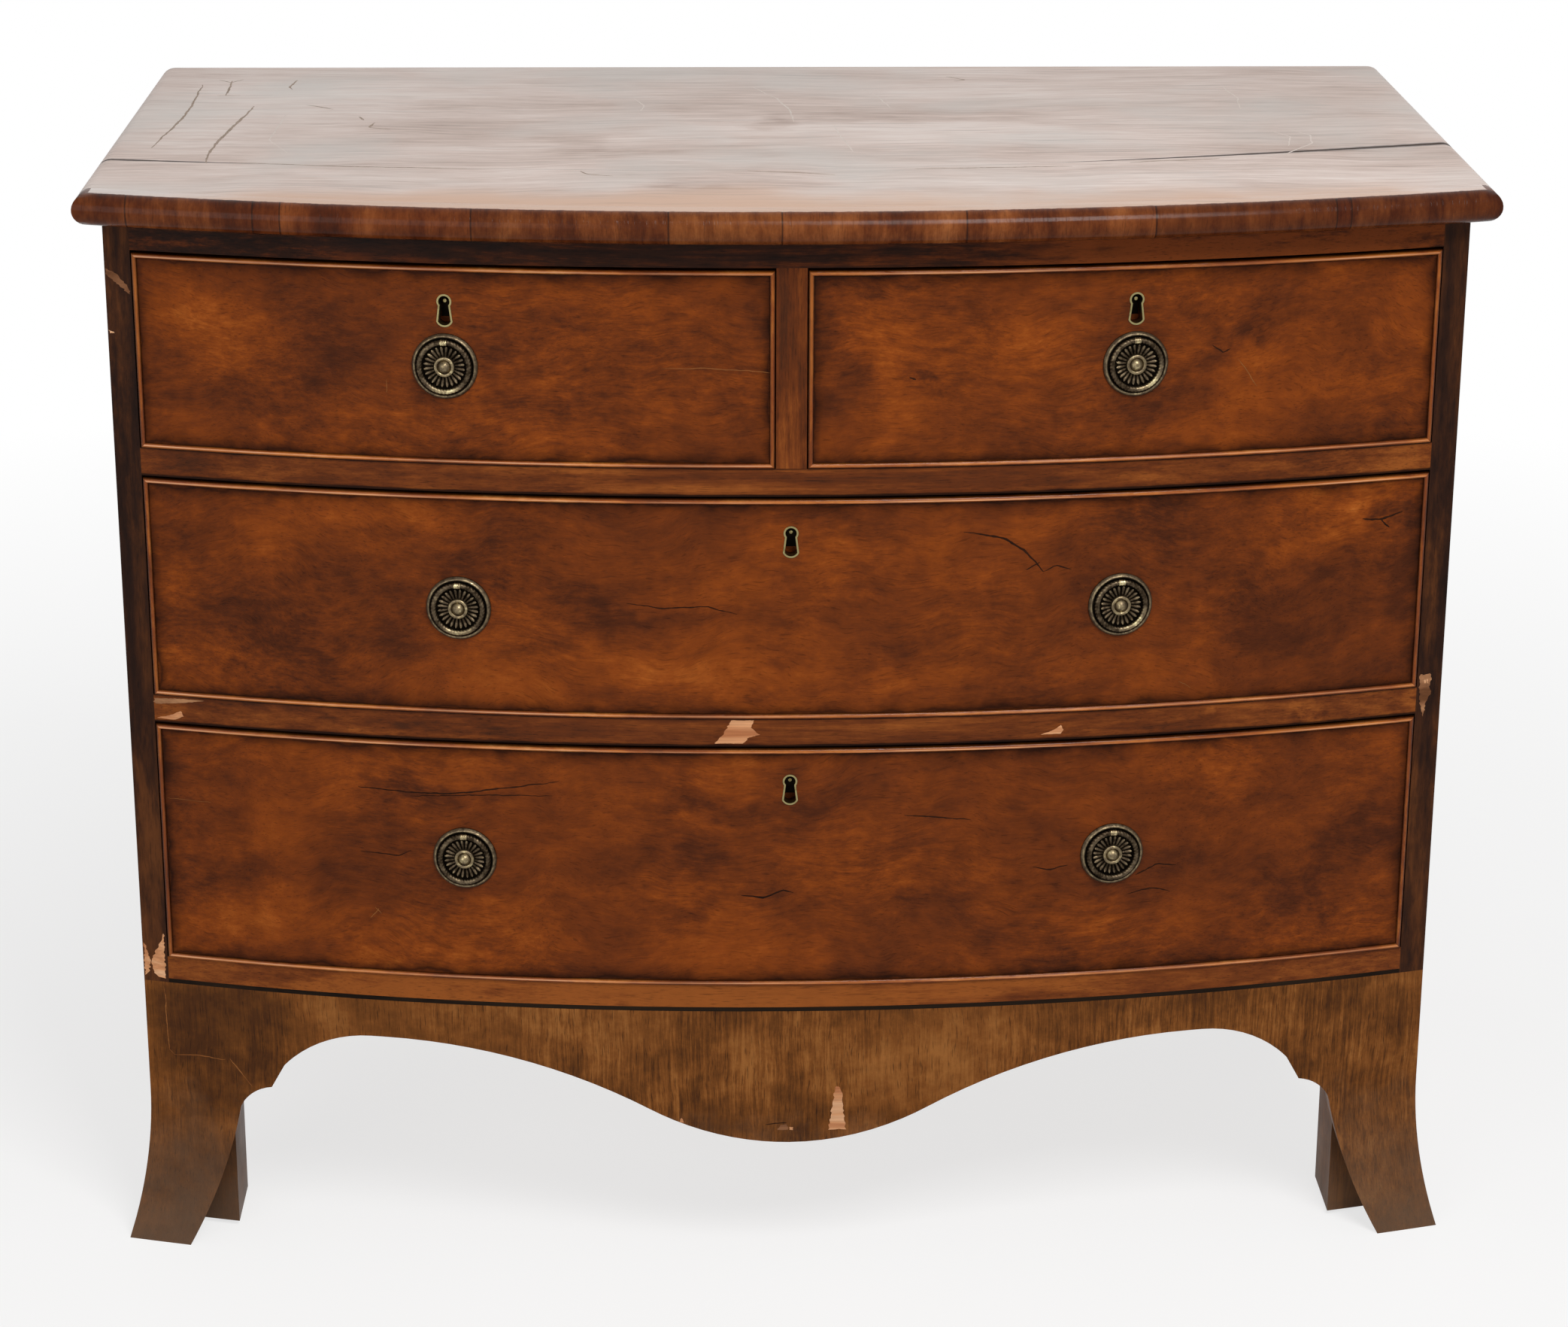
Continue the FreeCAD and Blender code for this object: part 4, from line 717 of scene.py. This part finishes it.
# veneers and marks on the bowed front, drawn as outlines (s, z) in millimetres, s measured round the bow
def fineLoop(outline, step):
    # the same loop with points no further apart than step
    points = np.asarray(outline, float)
    found = []
    for a, b in zip(points, np.roll(points, -1, 0)):
        count = max(1, int(math.ceil(np.linalg.norm(b - a) / step)))
        found.append(a + (b - a) * (np.arange(count) / count)[:, None])
    return np.concatenate(found)


def insideLoop(points, loop):
    # even-odd rule: count the edges crossed by a ray to the right
    x, z = points[:, None, 0], points[:, None, 1]
    a, b = loop[None], np.roll(loop, -1, 0)[None]
    crosses = (a[..., 1] > z) != (b[..., 1] > z)
    rise = np.where(b[..., 1] == a[..., 1], 1e-9, b[..., 1] - a[..., 1])
    hit = a[..., 0] + (z - a[..., 1]) * (b[..., 0] - a[..., 0]) / rise
    return (crosses & (x < hit)).sum(1) % 2 == 1


def bowSheet(name, outline, step, thickness):
    # a thin sheet bent to the bow: flat triangles inside the loop, then (s, z) -> (bowX(s), bowY(x, out), z)
    loop = fineLoop(outline, step)
    low, high = loop.min(0), loop.max(0)
    gx, gz = np.meshgrid(np.arange(low[0] + step / 2, high[0], step), np.arange(low[1] + step / 2, high[1], step))
    inner = np.stack([gx.ravel(), gz.ravel()], -1)
    inner = inner[insideLoop(inner, loop)]
    inner = inner[np.linalg.norm(inner[:, None] - loop[None], axis=2).min(1) > step * 0.4]
    edges = [(i, (i + 1) % len(loop)) for i in range(len(loop))]
    found = delaunay_2d_cdt([Vector(p) for p in np.concatenate([loop, inner]).tolist()], edges, [], 0, 1e-5)
    places = np.array([tuple(p) for p in found[0]])
    faces = np.array([f for f in found[2] if len(f) == 3])
    faces = faces[insideLoop(places[faces].mean(1), loop)]
    # walls stand on the sides that belong to one triangle only
    sides = np.concatenate([faces[:, [0, 1]], faces[:, [1, 2]], faces[:, [2, 0]]])
    _, index, count = np.unique(np.sort(sides, 1), axis=0, return_index=True, return_counts=True)
    rim = sides[index[count == 1]]
    n = len(places)
    x, z = bowX(places[:, 0]), places[:, 1] * mm
    sheets = [np.stack([x, bowY(x, out * mm), z], -1) for out in (thickness, 0)]
    allFaces = faces.tolist() + (faces[:, ::-1] + n).tolist()
    allFaces += np.stack([rim[:, 1], rim[:, 0], rim[:, 0] + n, rim[:, 1] + n], -1).tolist()
    return meshPiece(name, np.concatenate(sheets), allFaces, np.concatenate([places, places]) * mm)


def torn(outline, seed, rag=(0.5, 0.12), step=1.6):
    # the loop with each point pushed along the grain, and less across it, as splintered veneer breaks
    rng = np.random.default_rng(seed)
    loop = fineLoop(outline, step)
    loop[:, 0] += rng.normal(0, rag[0], len(loop))
    loop[:, 1] += rng.normal(0, rag[1], len(loop))
    return loop


lineSection = dict(across=[-1.0, 0.0, 1.0, 0.0], level=[0.02, 0.06, 0.02, -0.2])


def wornLine(route, width, seed, wander=0.8, step=2.5):
    # a crack or scratch: a low ridge of lens section that tapers as sin(pi t) ^ 0.4, wandering as a random walk
    rng = np.random.default_rng(seed)
    route = np.asarray(route, float)
    far = np.concatenate([[0], np.cumsum(np.linalg.norm(np.diff(route, axis=0), axis=1))])
    count = max(8, int(far[-1] / step))
    t = np.linspace(0, far[-1], count)
    path = np.stack([np.interp(t, far, route[:, k]) for k in (0, 1)], -1)
    drift = np.cumsum(rng.normal(0, wander * 0.25, (count, 2)), 0)
    path += drift - np.linspace(0, 1, count)[:, None] * drift[-1]
    ahead = np.gradient(path, axis=0)
    ahead /= np.linalg.norm(ahead, axis=1)[:, None]
    side = np.stack([-ahead[:, 1], ahead[:, 0]], -1)
    half = width / 2 * np.sin(np.linspace(0.05, math.pi - 0.05, count)) ** 0.4 * rng.uniform(0.6, 1.2, count)
    flat = path[:, None] + np.array(lineSection["across"])[None, :, None] * (half[:, None] * side)[:, None]
    return flat, np.array(lineSection["level"]) + 0 * flat[..., 0]


def lineOnBow(flat, level):
    # (s, z) on the faces of the drawers and rails, level millimetres out
    x = bowX(flat[..., 0])
    return np.stack([x, bowY(x, level * mm), flat[..., 1] * mm], -1)


def lineOnTop(flat, level):
    # (x, y) on the top, level millimetres up
    z = top["low"] + top["thickness"] - top["markHeight"] + level * mm
    return np.stack([flat[..., 0] * mm, flat[..., 1] * mm, z], -1)


def wornLines(name, lines, firstSeed, place):
    # one piece of several worn lines, each with the next seed
    grids = [(place(*wornLine(route, width, firstSeed + index)), True, None, True)
             for index, (width, route) in enumerate(lines)]
    return joinGrids(name, grids, 80)


# worn and mended places, in millimetres: (s, z) on the bow, (x, y) on the top; lines are (width, route)
marks = dict(
    bare=[("pale", [(-57, 438.5), (-52, 444), (-47, 451), (-44, 457), (-27, 457), (-29.5, 451), (-23, 445.5),
                    (-31, 443.5), (-36.5, 438.5)]),
          ("pale", [(190, 440.8), (199, 443.5), (206, 448), (207.5, 444), (206, 440.8)]),
          ("pale", [(-489, 439), (-478, 442), (-469, 446), (-467, 442), (-474, 438.5)]),
          ("dull", [(-490, 450.5), (-490, 455), (-470, 456), (-449, 456), (-465, 453), (-482, 451)]),
          ("pale", [(-510.3, 250), (-507, 242), (-505.5, 234), (-507, 225), (-510.3, 222)]),
          ("pale", [(-493, 259), (-496, 252), (-501, 243), (-504.5, 234), (-503, 226), (-499, 222), (-493, 221)]),
          ("dull", [(493, 468), (496, 467), (501, 468), (503, 463), (501, 456), (503, 452), (500, 446), (498.5, 440),
                    (497, 433), (495.5, 440), (493.5, 446), (493, 456)]),
          ("pale", [(496, 463), (500, 463.5), (500.5, 460), (497, 460.5)]),
          ("pale", [(-510.3, 742.5), (-505, 740.5), (-510.3, 740)]),
          ("dull", [(-510.3, 789), (-501, 785), (-492.5, 774), (-492.5, 770.5), (-502, 778), (-510.3, 785)]),
          ("pale", [(37, 153.5), (39.5, 153.5), (41.5, 148), (43.5, 128), (45, 116), (44.5, 113), (38, 111),
                    (30, 110.5), (33, 128), (36, 149)]),
          ("pale", [(0.5, 119.5), (3, 119), (4.5, 114), (5, 109), (0.6, 109)]),
          ("pale", [(-83.5, 127), (-82, 122.8), (-84.6, 123.5)]),
          ("dull", [(-9.5, 110.5), (-9, 118), (-6, 121), (-1.5, 122), (-0.4, 117), (-0.8, 110)])],
    cracks=[("middle", 1.6, [(128, 603), (150, 600), (161, 597), (175, 588), (189, 570)]),
            ("middle", 1.0, [(189, 570), (198, 575), (210, 571)]), ("middle", 1.0, [(186, 578), (176, 572)]),
            ("middle", 1.8, [(437, 598), (452, 596), (470, 601)]), ("middle", 1.3, [(452, 596), (460, 589)]),
            ("middle", 1.0, [(-122, 549), (-95, 545), (-60, 547), (-40, 541)]),
            ("bottom", 1.5, [(-37, 315), (-20, 313), (-5, 319), (3, 317)]), ("bottom", 1.1, [(87, 379), (138, 374)]),
            ("bottom", 1.2, [(-330, 395), (-260, 392), (-175, 406)]), ("bottom", 0.9, [(-290, 390), (-180, 394)]),
            ("bottom", 1.2, [(187, 333), (200, 330), (214, 333)]),
            ("bottom", 1.3, [(268, 322), (285, 330), (300, 328)]),
            ("bottom", 1.0, [(262, 306), (280, 310), (296, 306)]),
            ("bottom", 0.9, [(-330, 342), (-300, 340), (-290, 345)]),
            ("upper_right", 1.4, [(312, 739), (320, 733), (326, 736)]), ("upper_right", 1.6, [(86, 722), (91, 720)]),
            ("carcass", 1.1, [(-18, 121.5), (-9, 122.5), (-1.5, 123)]),
            ("carcass", 0.9, [(-19, 117), (-16, 113), (-11, 112)])],
    scratches=[("upper_left", 0.7, [(-95, 729), (-60, 730), (-16, 726)]), ("bottom", 0.9, [(-324, 287), (-317, 295)]),
               ("bottom", 0.7, [(-320, 296), (-315, 291)]), ("upper_left", 0.6, [(-298, 716), (-298, 706)]),
               ("upper_right", 0.7, [(332, 728), (348, 706)]), ("middle", 0.6, [(296, 478), (306, 472)]),
               ("bottom", 0.5, [(-484, 374), (-448, 373)]),
               ("carcass", 1.0, [(-495.5, 214), (-494.5, 202), (-494, 179), (-493, 160), (-489.5, 156)]),
               ("carcass", 0.9, [(-489.5, 156), (-468.5, 157.4), (-447, 156)]),
               ("carcass", 1.0, [(-443, 157.5), (-425.5, 135)])],
    dents=[(2.1, [(-478, 215), (-475, 150), (-476, 60), (-482, 0), (-486, -50)]), (1.9, [(-455, 232), (-453, 165)]),
           (1.6, [(-466, 236), (-455, 224), (-446, 238)]), (1.6, [(-460, 166), (-441, 166)]),
           (2.6, [(-425, 120), (-428, 80), (-432, 40), (-438, -20), (-440, -80), (-437, -108)]),
           (1.9, [(-401, 236), (-404, 205), (-401, 192)]), (1.9, [(-383, 124), (-360, 106)]),
           (2.2, [(-337, 74), (-332, 60)]), (2.2, [(-322, 50), (-325, 30), (-308, 22)]),
           (2.1, [(-420, -105), (-330, -122), (-240, -129)]), (2.1, [(96, -134), (160, -130), (215, -126)]),
           (2.6, [(260, -112), (330, -98)]), (2.2, [(-30, -139), (10, -148), (35, -156)]),
           (1.9, [(-155, -140), (-150, -152), (-130, -158)]), (1.9, [(145, 247), (160, 232), (150, 226)])],
    rubs=[(1.6, [(-20, 200), (0, 150), (8, 100), (10, 50)]), (1.3, [(70, 190), (82, 160), (90, 110)]),
          (1.6, [(42, 35), (44, 0), (52, -70)]), (1.3, [(-118, 150), (-110, 120), (-112, 95)]),
          (1.5, [(398, 20), (413, -8), (410, -40), (385, -78), (345, -100)]),
          (1.2, [(385, 10), (398, -15), (390, -50)]),
          (1.4, [(372, 205), (378, 150), (374, 100)]), (1.3, [(-396, 90), (-398, -20), (-380, -70)])])


# finishes: swirlSize, swirl, cloud (long, wide) and band are sizes in mm; flame, flecks, streaks, bands and pores
# say how strong each is, rough is (polished, worn), and a halo is how dark the wood is by its distance from an edge
veneerTones = [(0.16, "#34190d"), (0.34, "#4b230f"), (0.5, "#652f10"), (0.63, "#7a3a11"), (0.78, "#904a18"),
               (0.92, "#a86228")]
railTones = [(0.3, "#40200f"), (0.45, "#582a10"), (0.56, "#6b3614"), (0.72, "#86491c")]
stileTones = [(0.3, "#170b07"), (0.45, "#27140b"), (0.56, "#3a1f0f"), (0.7, "#563016")]
baseTones = [(0.28, "#43240c"), (0.42, "#5a3311"), (0.55, "#704119"), (0.7, "#885628")]
drawerLooks = {
    "upper_left": dict(seed=1.0, stains=[
        (-430, 760, 100, 80, 0.05), (-465, 695, 60, 60, -0.02), (-335, 745, 140, 110, -0.15),
        (-300, 700, 120, 60, -0.06), (-215, 755, 90, 80, -0.05), (-180, 680, 190, 36, 0.09),
        (-420, 668, 110, 30, 0.05), (-110, 768, 130, 45, 0.04), (-60, 735, 90, 60, -0.04),
        (-22, 720, 30, 150, -0.1)]),
    "upper_right": dict(seed=2.3, stains=[
        (28, 730, 50, 150, -0.1), (85, 705, 90, 40, 0.05), (72, 691, 40, 30, 0.06), (200, 775, 220, 50, -0.07),
        (170, 700, 120, 40, -0.04), (240, 730, 110, 90, -0.06), (340, 709, 40, 50, 0.08), (319, 735, 34, 24, -0.16),
        (410, 740, 160, 100, 0.05), (89, 721, 14, 10, -0.2)]),
    "middle": dict(seed=3.7, stains=[
        (-415, 590, 120, 60, 0.05), (-330, 560, 150, 90, -0.09), (-270, 560, 90, 50, -0.05),
        (-165, 575, 120, 110, -0.06), (-130, 535, 60, 30, -0.1), (-200, 490, 250, 44, 0.11), (-40, 487, 150, 30, 0.1),
        (-60, 545, 200, 20, -0.09), (190, 540, 120, 60, -0.05), (262, 570, 90, 80, -0.12),
        (410, 530, 200, 130, -0.12),
        (390, 590, 120, 40, 0.07), (-410, 520, 160, 90, -0.1), (330, 522, 60, 40, 0.08),
        (452, 597, 44, 14, -0.2), (480, 540, 40, 150, -0.1)]),
    "bottom": dict(seed=5.1, stains=[
        (-430, 395, 130, 50, 0.04), (-410, 285, 120, 50, 0.1), (-256, 275, 120, 36, 0.08),
        (-266, 398, 210, 22, -0.12), (-300, 360, 90, 60, -0.08), (-155, 340, 110, 70, -0.04),
        (-60, 383, 170, 18, -0.1), (-40, 310, 160, 22, -0.1), (60, 355, 160, 80, -0.03), (190, 345, 90, 80, -0.1),
        (100, 300, 180, 26, -0.07), (290, 330, 120, 60, -0.07), (-20, 270, 300, 30, 0.05),
        (130, 400, 150, 40, 0.04), (430, 340, 180, 130, -0.09), (-400, 330, 200, 100, -0.04)])}
frontLook = dict(run="bow", swirlSize=170, swirl=42, cloud=(110, 60), clouds=veneerTones, flame=0.025, flecks=0.1,
                 band=18, bands=0.07, streaks=0.055, pores=0.3, specks=0.02,
                 halo=[(0.0, 0.2), (0.08, 0.45), (0.28, 0.84), (0.6, 1.0)], rough=(0.28, 0.46), sheen=0.05)


def drawerFinish(name):
    # the front's veneer, darkened just inside its beads
    low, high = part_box(name + "_drawer_beads")
    arc = [bow["radius"] * math.asin(x / bow["radius"]) for x in (low.x, high.x)]
    border = bead["width"]
    edge = (arc[0] + border, arc[1] - border, low.z + border, high.z - border)
    return mahogany("frenchPolishedMahogany." + name, dict(frontLook, edge=edge, **drawerLooks[name]))


# the halo here counts only where an edge is given, on the upper and lower rails, and there it is painted shade along
# the gaps beside the drawers
railLook = dict(run="bow", seed=9.0, swirlSize=300, swirl=5, cloud=(300, 14), clouds=railTones, flame=0.02,
                flecks=0.06, band=20, bands=0.06, streaks=0.08, pores=0.35, ragged=1, specks=0.03,
                halo=[(0.0, 0.08), (0.05, 0.15), (0.09, 0.85), (0.14, 1.0)], rough=(0.34, 0.52), sheen=0.07,
                stains=[(-450, 645, 90, 40, -0.05), (450, 645, 90, 34, 0.15), (392, 447, 30, 16, 0.16),
                        (478, 448, 44, 22, 0.14), (430, 450, 120, 20, 0.05), (322, 455, 24, 8, 0.14),
                        (-120, 445, 120, 20, 0.06), (200, 640, 160, 20, -0.06)])


def railGapShade(name):
    # painted shade along the gaps beside the drawers: the rail's face is darkened from its lower edge, over the gap
    # above the drawer below, and from 1.2 mm above its upper edge, so a little less there
    low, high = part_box(name)
    return (-600 * mm, 600 * mm, low.z, high.z + 1.2 * mm)


finishes = {
    "bleached_mahogany_top": bleachedTop("bleachedMahogany", top["bleached"]),
    "mahogany_side": mahogany("sideMahogany", dict(
        run="z", seed=8.0, swirlSize=400, swirl=20, cloud=(500, 55), clouds=railTones, flame=0.04, flecks=0.04,
        band=40, bands=0.05, streaks=0.07, pores=0.3, rough=(0.35, 0.52), sheen=0.12)),
    "mahogany_rail": mahogany("railMahogany", railLook),
    # the bead's ramps paint shade at its feet and a highlight over its round and along the crest of level beads
    "mahogany_cockbead": mahogany("beadMahogany", dict(
        run="uv", seed=10.0, swirlSize=300, swirl=2, cloud=(110, 14), clouds=[(0.3, "#4c2108"), (0.48, "#7c3b0e"),
        (0.62, "#9e591e"), (0.76, "#bf8347")], flame=0.06, flecks=0.08, band=30, bands=0.08, streaks=0.05,
        pores=0.25, foot=[(0.0, 0.12), (0.16, 0.5), (0.36, 1.15), (0.62, 1.35), (0.84, 0.7), (1.0, 0.12)],
        crest=[(0.38, 0.0), (0.5, 1.0), (0.62, 1.0), (0.74, 0.0)], rough=(0.14, 0.26), sheen=0.18)),
    "mahogany_base": mahogany("baseMahogany", dict(
        run="bowUp", seed=11.0, swirlSize=90, swirl=5, cloud=(60, 75), clouds=baseTones, flame=0.015, flecks=0.07,
        band=12, bands=0.05, streaks=0.17, pores=0.5, specks=0.04, dustTo=130,
        stains=[(-450, 190, 130, 90, -0.2), (-470, 90, 120, 150, -0.07), (450, 170, 130, 110, -0.08),
                (20, 185, 320, 60, 0.07), (-60, 130, 120, 40, -0.05)], rough=(0.36, 0.55), sheen=0.08)),
    "ebony_string": plainWood("blackStainedHolly", dict(run="bow", clouds=[(0.3, "#120c08"), (0.7, "#221810")],
                                                       grime="#2c2015", sheen=0.05)),
    "pine": plainWood("agedPine", dict(run="x", clouds=[(0.35, "#a37d52"), (0.5, "#b8946a"), (0.62, "#94693f")],
                                       grime="#6d5238")),
    "pine_back": plainWood("darkenedPine", dict(run="z", clouds=[(0.35, "#84603f"), (0.5, "#97714e"),
                                                                 (0.62, "#785334")], grime="#55402e", sheen=0.15)),
    "pine_drawer_lining": plainWood("planedPine", dict(run="y", clouds=[(0.35, "#b08c60"), (0.5, "#c2a077"),
                                                                        (0.62, "#a37a4e")], grime="#7b6246")),
    "brass_handle": agedMetal("rubbedBrass", dict(rubbed="uv", rough=(0.26, 0.75), tones=[
        (0.05, "#16110c"), (0.3, "#352b1f"), (0.55, "#5e5140"), (0.78, "#85765a"), (0.97, "#cbbd92")])),
    "brass_lock": agedMetal("dullBrass", dict(rubbed="edges", rough=(0.3, 0.5), deep=(9, 4), tones=[
        (0.05, "#2a2013"), (0.4, "#4a3d27"), (0.7, "#665835"), (0.95, "#958a60")])),
    "iron_bolt": agedMetal("filedIron", dict(rubbed="edges", rough=(0.35, 0.6), tones=[
        (0.05, "#26221f"), (0.4, "#4a4541"), (0.7, "#6b6660"), (0.95, "#8f8a83")]))}
ownFinishes = {
    "upper_rail": mahogany("upperRailMahogany", dict(railLook, edge=railGapShade("upper_rail"))),
    "lower_rail": mahogany("lowerRailMahogany", dict(railLook, seed=9.4, edge=railGapShade("lower_rail"))),
    # painted shadow: the top rail's tones are very dark, darker on the left and lighter on the right, for the shadow
    # that the top's overhang casts on it
    "top_rail": mahogany("topRailMahoganyPaintedShadow", dict(railLook, seed=12.0, clouds=[
        (0.3, "#1a0d08"), (0.45, "#2e170c"), (0.56, "#4e250f"), (0.7, "#6e3614")], stains=[
            (-260, 815, 560, 60, -0.08), (330, 815, 400, 60, 0.28)])),
    "bottom_rail": mahogany("bottomRailMahogany", dict(railLook, seed=13.0, stains=[(-100, 230, 800, 60, 0.26)])),
    "side_facings": mahogany("stileMahogany", dict(
        railLook, run="bowUp", seed=14.0, clouds=stileTones, streaks=0.02, cloud=(120, 20), stains=[
            (-500, 300, 60, 240, 0.1), (500, 350, 60, 260, 0.09), (-500, 700, 60, 300, -0.05)])),
    "muntin": mahogany("muntinMahogany", dict(railLook, run="bowUp", seed=15.0, cloud=(120, 14), stains=[
        (0, 720, 40, 140, -0.09)]))}
slotOf = {row["node"]: row["material_slot"] for row in frame["record"]["subparts"]}
for node, obj in nodes.items():
    if node.endswith("_drawer_front"):
        finish = drawerFinish(node[:-len("_drawer_front")])
    else:
        finish = ownFinishes.get(node) or finishes.get(slotOf[node])
    obj.material_slots[0].material = finish
print("finishes on", len(nodes), "nodes")

# beads, top, handles
for name in drawerNames:
    beads = name + "_drawer_beads"
    finishPiece(joinGrids(name + "_cockbeads", beadStrips(*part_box(beads)), 40), finishes["mahogany_cockbead"],
                name + "_drawer", [beads])
print("cockbeads made")

lipping = joinGrids("crossbanded_lipping", topLipping(), 40)
finishPiece(lipping, lippingFinish(), "carcass", ["top_lipping"])
boards = {"top_front_board": (lambda x: bowY(x, top["innerOut"]), lambda x: topSplit(x) - splitGap(x) / 2),
          "top_back_board": (lambda x: topSplit(x) + splitGap(x) / 2, lambda x: 0 * x + top["backY"])}
for name, (near, far) in boards.items():
    finishPiece(joinGrids(name, topBoard(near, far), 40), finishes["bleached_mahogany_top"], "carcass",
                ["top_board"])
print("top made")

ringNodes = {"upper_left": ["upper_left_ring"], "upper_right": ["upper_right_ring"],
             "middle": ["middle_left_ring", "middle_right_ring"], "bottom": ["bottom_left_ring", "bottom_right_ring"]}
for name, rings in ringNodes.items():
    plates = (name + "_drawer", name + "_handle_plates")
    for ring in rings:
        at = handlePlace(ring)
        for label, grids, crease, (body, node) in (("_plate", backPlate(at), 40, plates),
                                                   ("_post", ringPost(at) + shankNut(at), 35, plates),
                                                   ("_hoop", ringPiece(at), 35, (ring, ring))):
            finishPiece(joinGrids(ring + label, grids, crease), finishes["brass_handle"], body,
                        [node])
print("handles made")

bareVeneers = {
    "pale": plainWood("bareVeneer", dict(run="bow", clouds=[(0.35, "#a5653c"), (0.5, "#c58b5f"), (0.62, "#d6a67e")],
                                         grime="#7d4c2e")),
    "dull": plainWood("dirtyBareVeneer", dict(run="bow", clouds=[(0.35, "#5e3a22"), (0.5, "#80563a"),
                                                                 (0.62, "#a07350")], grime="#4a2c1a", sheen=0.1))}
lineFinishes = {
    "cracks": plainWood("grimeInCracks", dict(run="bow", clouds=[(0.3, "#1c0f08"), (0.7, "#351c0f")],
                                              grime="#170c06", sheen=0.05)),
    "scratches": plainWood("paleScratches", dict(run="bow", clouds=[(0.3, "#6e3f1c"), (0.7, "#8d5a2e")],
                                                 grime="#5c351a", sheen=0.1)),
    "dents": plainWood("grimeInDents", dict(run="x", clouds=[(0.3, "#92806f"), (0.7, "#ad998b")], grime="#7d6a5c")),
    "rubs": plainWood("paleRubs", dict(run="x", clouds=[(0.3, "#d3c5bc"), (0.7, "#e0d5cd")], grime="#c9b9ae"))}
for index, (tone, outline) in enumerate(marks["bare"]):
    sheet = bowSheet("bare_veneer_%d" % index, torn(outline, index), step=2.5, thickness=0.08)
    finishPiece(sheet, bareVeneers[tone], "carcass")
markedBodies = [(name, name + "_drawer", "mahogany_drawer_front") for name in drawerNames]
markedBodies.append(("carcass", "carcass", "mahogany_base"))
for kind in ("cracks", "scratches"):
    for name, body, slot in markedBodies:
        lines = [mark[1:] for mark in marks[kind] if mark[0] == name]
        if lines:
            finishPiece(wornLines(name + "_" + kind, lines, 0, lineOnBow), lineFinishes[kind], body)
for kind in ("dents", "rubs"):
    finishPiece(wornLines("top_" + kind, marks[kind], 50, lineOnTop), lineFinishes[kind], "carcass")
print("worn places made")


# floor, light and camera
def seenRays(add):
    # 1 for rays from the camera, from gloss and through glass, which see the pale background, and 0 for the rest
    rays = add("LightPath", output=None)
    seen = add("Math", {0: rays["Is Camera Ray"], 1: rays["Is Glossy Ray"]}, operation="MAXIMUM")
    return add("Math", {0: seen, 1: rays["Is Transmission Ray"]}, operation="MAXIMUM")


scene = bpy.context.scene
floorSides = [-6.0, 6.0]
floorGrid = np.stack(np.meshgrid(floorSides, floorSides, [0.0], indexing="ij"), -1)[:, :, 0]
floor = joinGrids("pale_floor", [(floorGrid, False, None, False)])
floorPaint, add = newMaterial("paleFloor")
place = add("TexCoord", output="Object")
mottle = add("TexNoise", {"Vector": place, "Scale": 3.0})
mottle = add("ValToRGB", {"Fac": mottle}, [(0.3, "#f0efed"), (0.7, "#f4f3f2")])
dressShader(floorPaint, {"Roughness": 0.7, "Base Color": mottle})
far = add("VectorMath", {0: place}, output="Value", operation="LENGTH")
white = add("MapRange", {"Value": far, "From Min": 0.7, "From Max": 2.4, "To Min": 0.72, "To Max": 1.0})
white = add("Math", {0: white, 1: seenRays(add)}, operation="MULTIPLY")
shaders = floorPaint.node_tree.nodes
mixed = add("MixShader", {0: white, 1: shaders["Principled BSDF"].outputs[0], 2: add("Emission", {"Strength": 1.0})})
fillInputs(floorPaint, shaders["Material Output"], {"Surface": mixed})
floor.data.materials.append(floorPaint)

world = bpy.data.worlds.new("paleStudio")
world.use_nodes = True
scene.world = world
strength = addNode(world, "MapRange", {"Value": seenRays(partial(addNode, world)), "To Min": 0.3, "To Max": 1.0})
fillInputs(world, world.node_tree.nodes["Background"], {"Strength": strength, "Color": (1.0, 1.0, 1.0, 1.0)})

lamps = {"key": dict(at=(0.7, -1.9, 2.6), aim=(0, -0.1, 0.6), size=1.1, power=60),
         "fill": dict(at=(-1.8, -3.0, 1.5), aim=(0, 0, 0.4), size=2.0, power=26)}
for name, lamp in lamps.items():
    data = bpy.data.lights.new(name, "AREA")
    data.size, data.energy = lamp["size"], lamp["power"]
    holder = bpy.data.objects.new(name, data)
    scene.collection.objects.link(holder)
    holder.location = lamp["at"]
    holder.rotation_euler = (Vector(lamp["aim"]) - Vector(lamp["at"])).to_track_quat("-Z", "Y").to_euler()

view = dict(at=(-79.8 * mm, -2937.3 * mm, 1429.7 * mm), down=0.3336, turn=0.0280, roll=0.0036, lens=86.98,
            sensor=36.0)
camera = bpy.data.objects.new("camera", bpy.data.cameras.new("camera"))
scene.collection.objects.link(camera)
camera.data.lens, camera.data.sensor_width, camera.data.sensor_fit = view["lens"], view["sensor"], "HORIZONTAL"
ahead = Vector((math.sin(view["turn"]) * math.cos(view["down"]), math.cos(view["turn"]) * math.cos(view["down"]),
                -math.sin(view["down"])))
level = Vector((math.cos(view["turn"]), -math.sin(view["turn"]), 0))
upward = level.cross(ahead)
right = level * math.cos(view["roll"]) + upward * math.sin(view["roll"])
upward = upward * math.cos(view["roll"]) - level * math.sin(view["roll"])
camera.matrix_world = Matrix.Translation(view["at"]) @ Matrix((right, upward, -ahead)).transposed().to_4x4()
scene.camera = camera
scene.view_settings.view_transform = "Standard"
print("light and camera set")

bpy.context.view_layer.update()
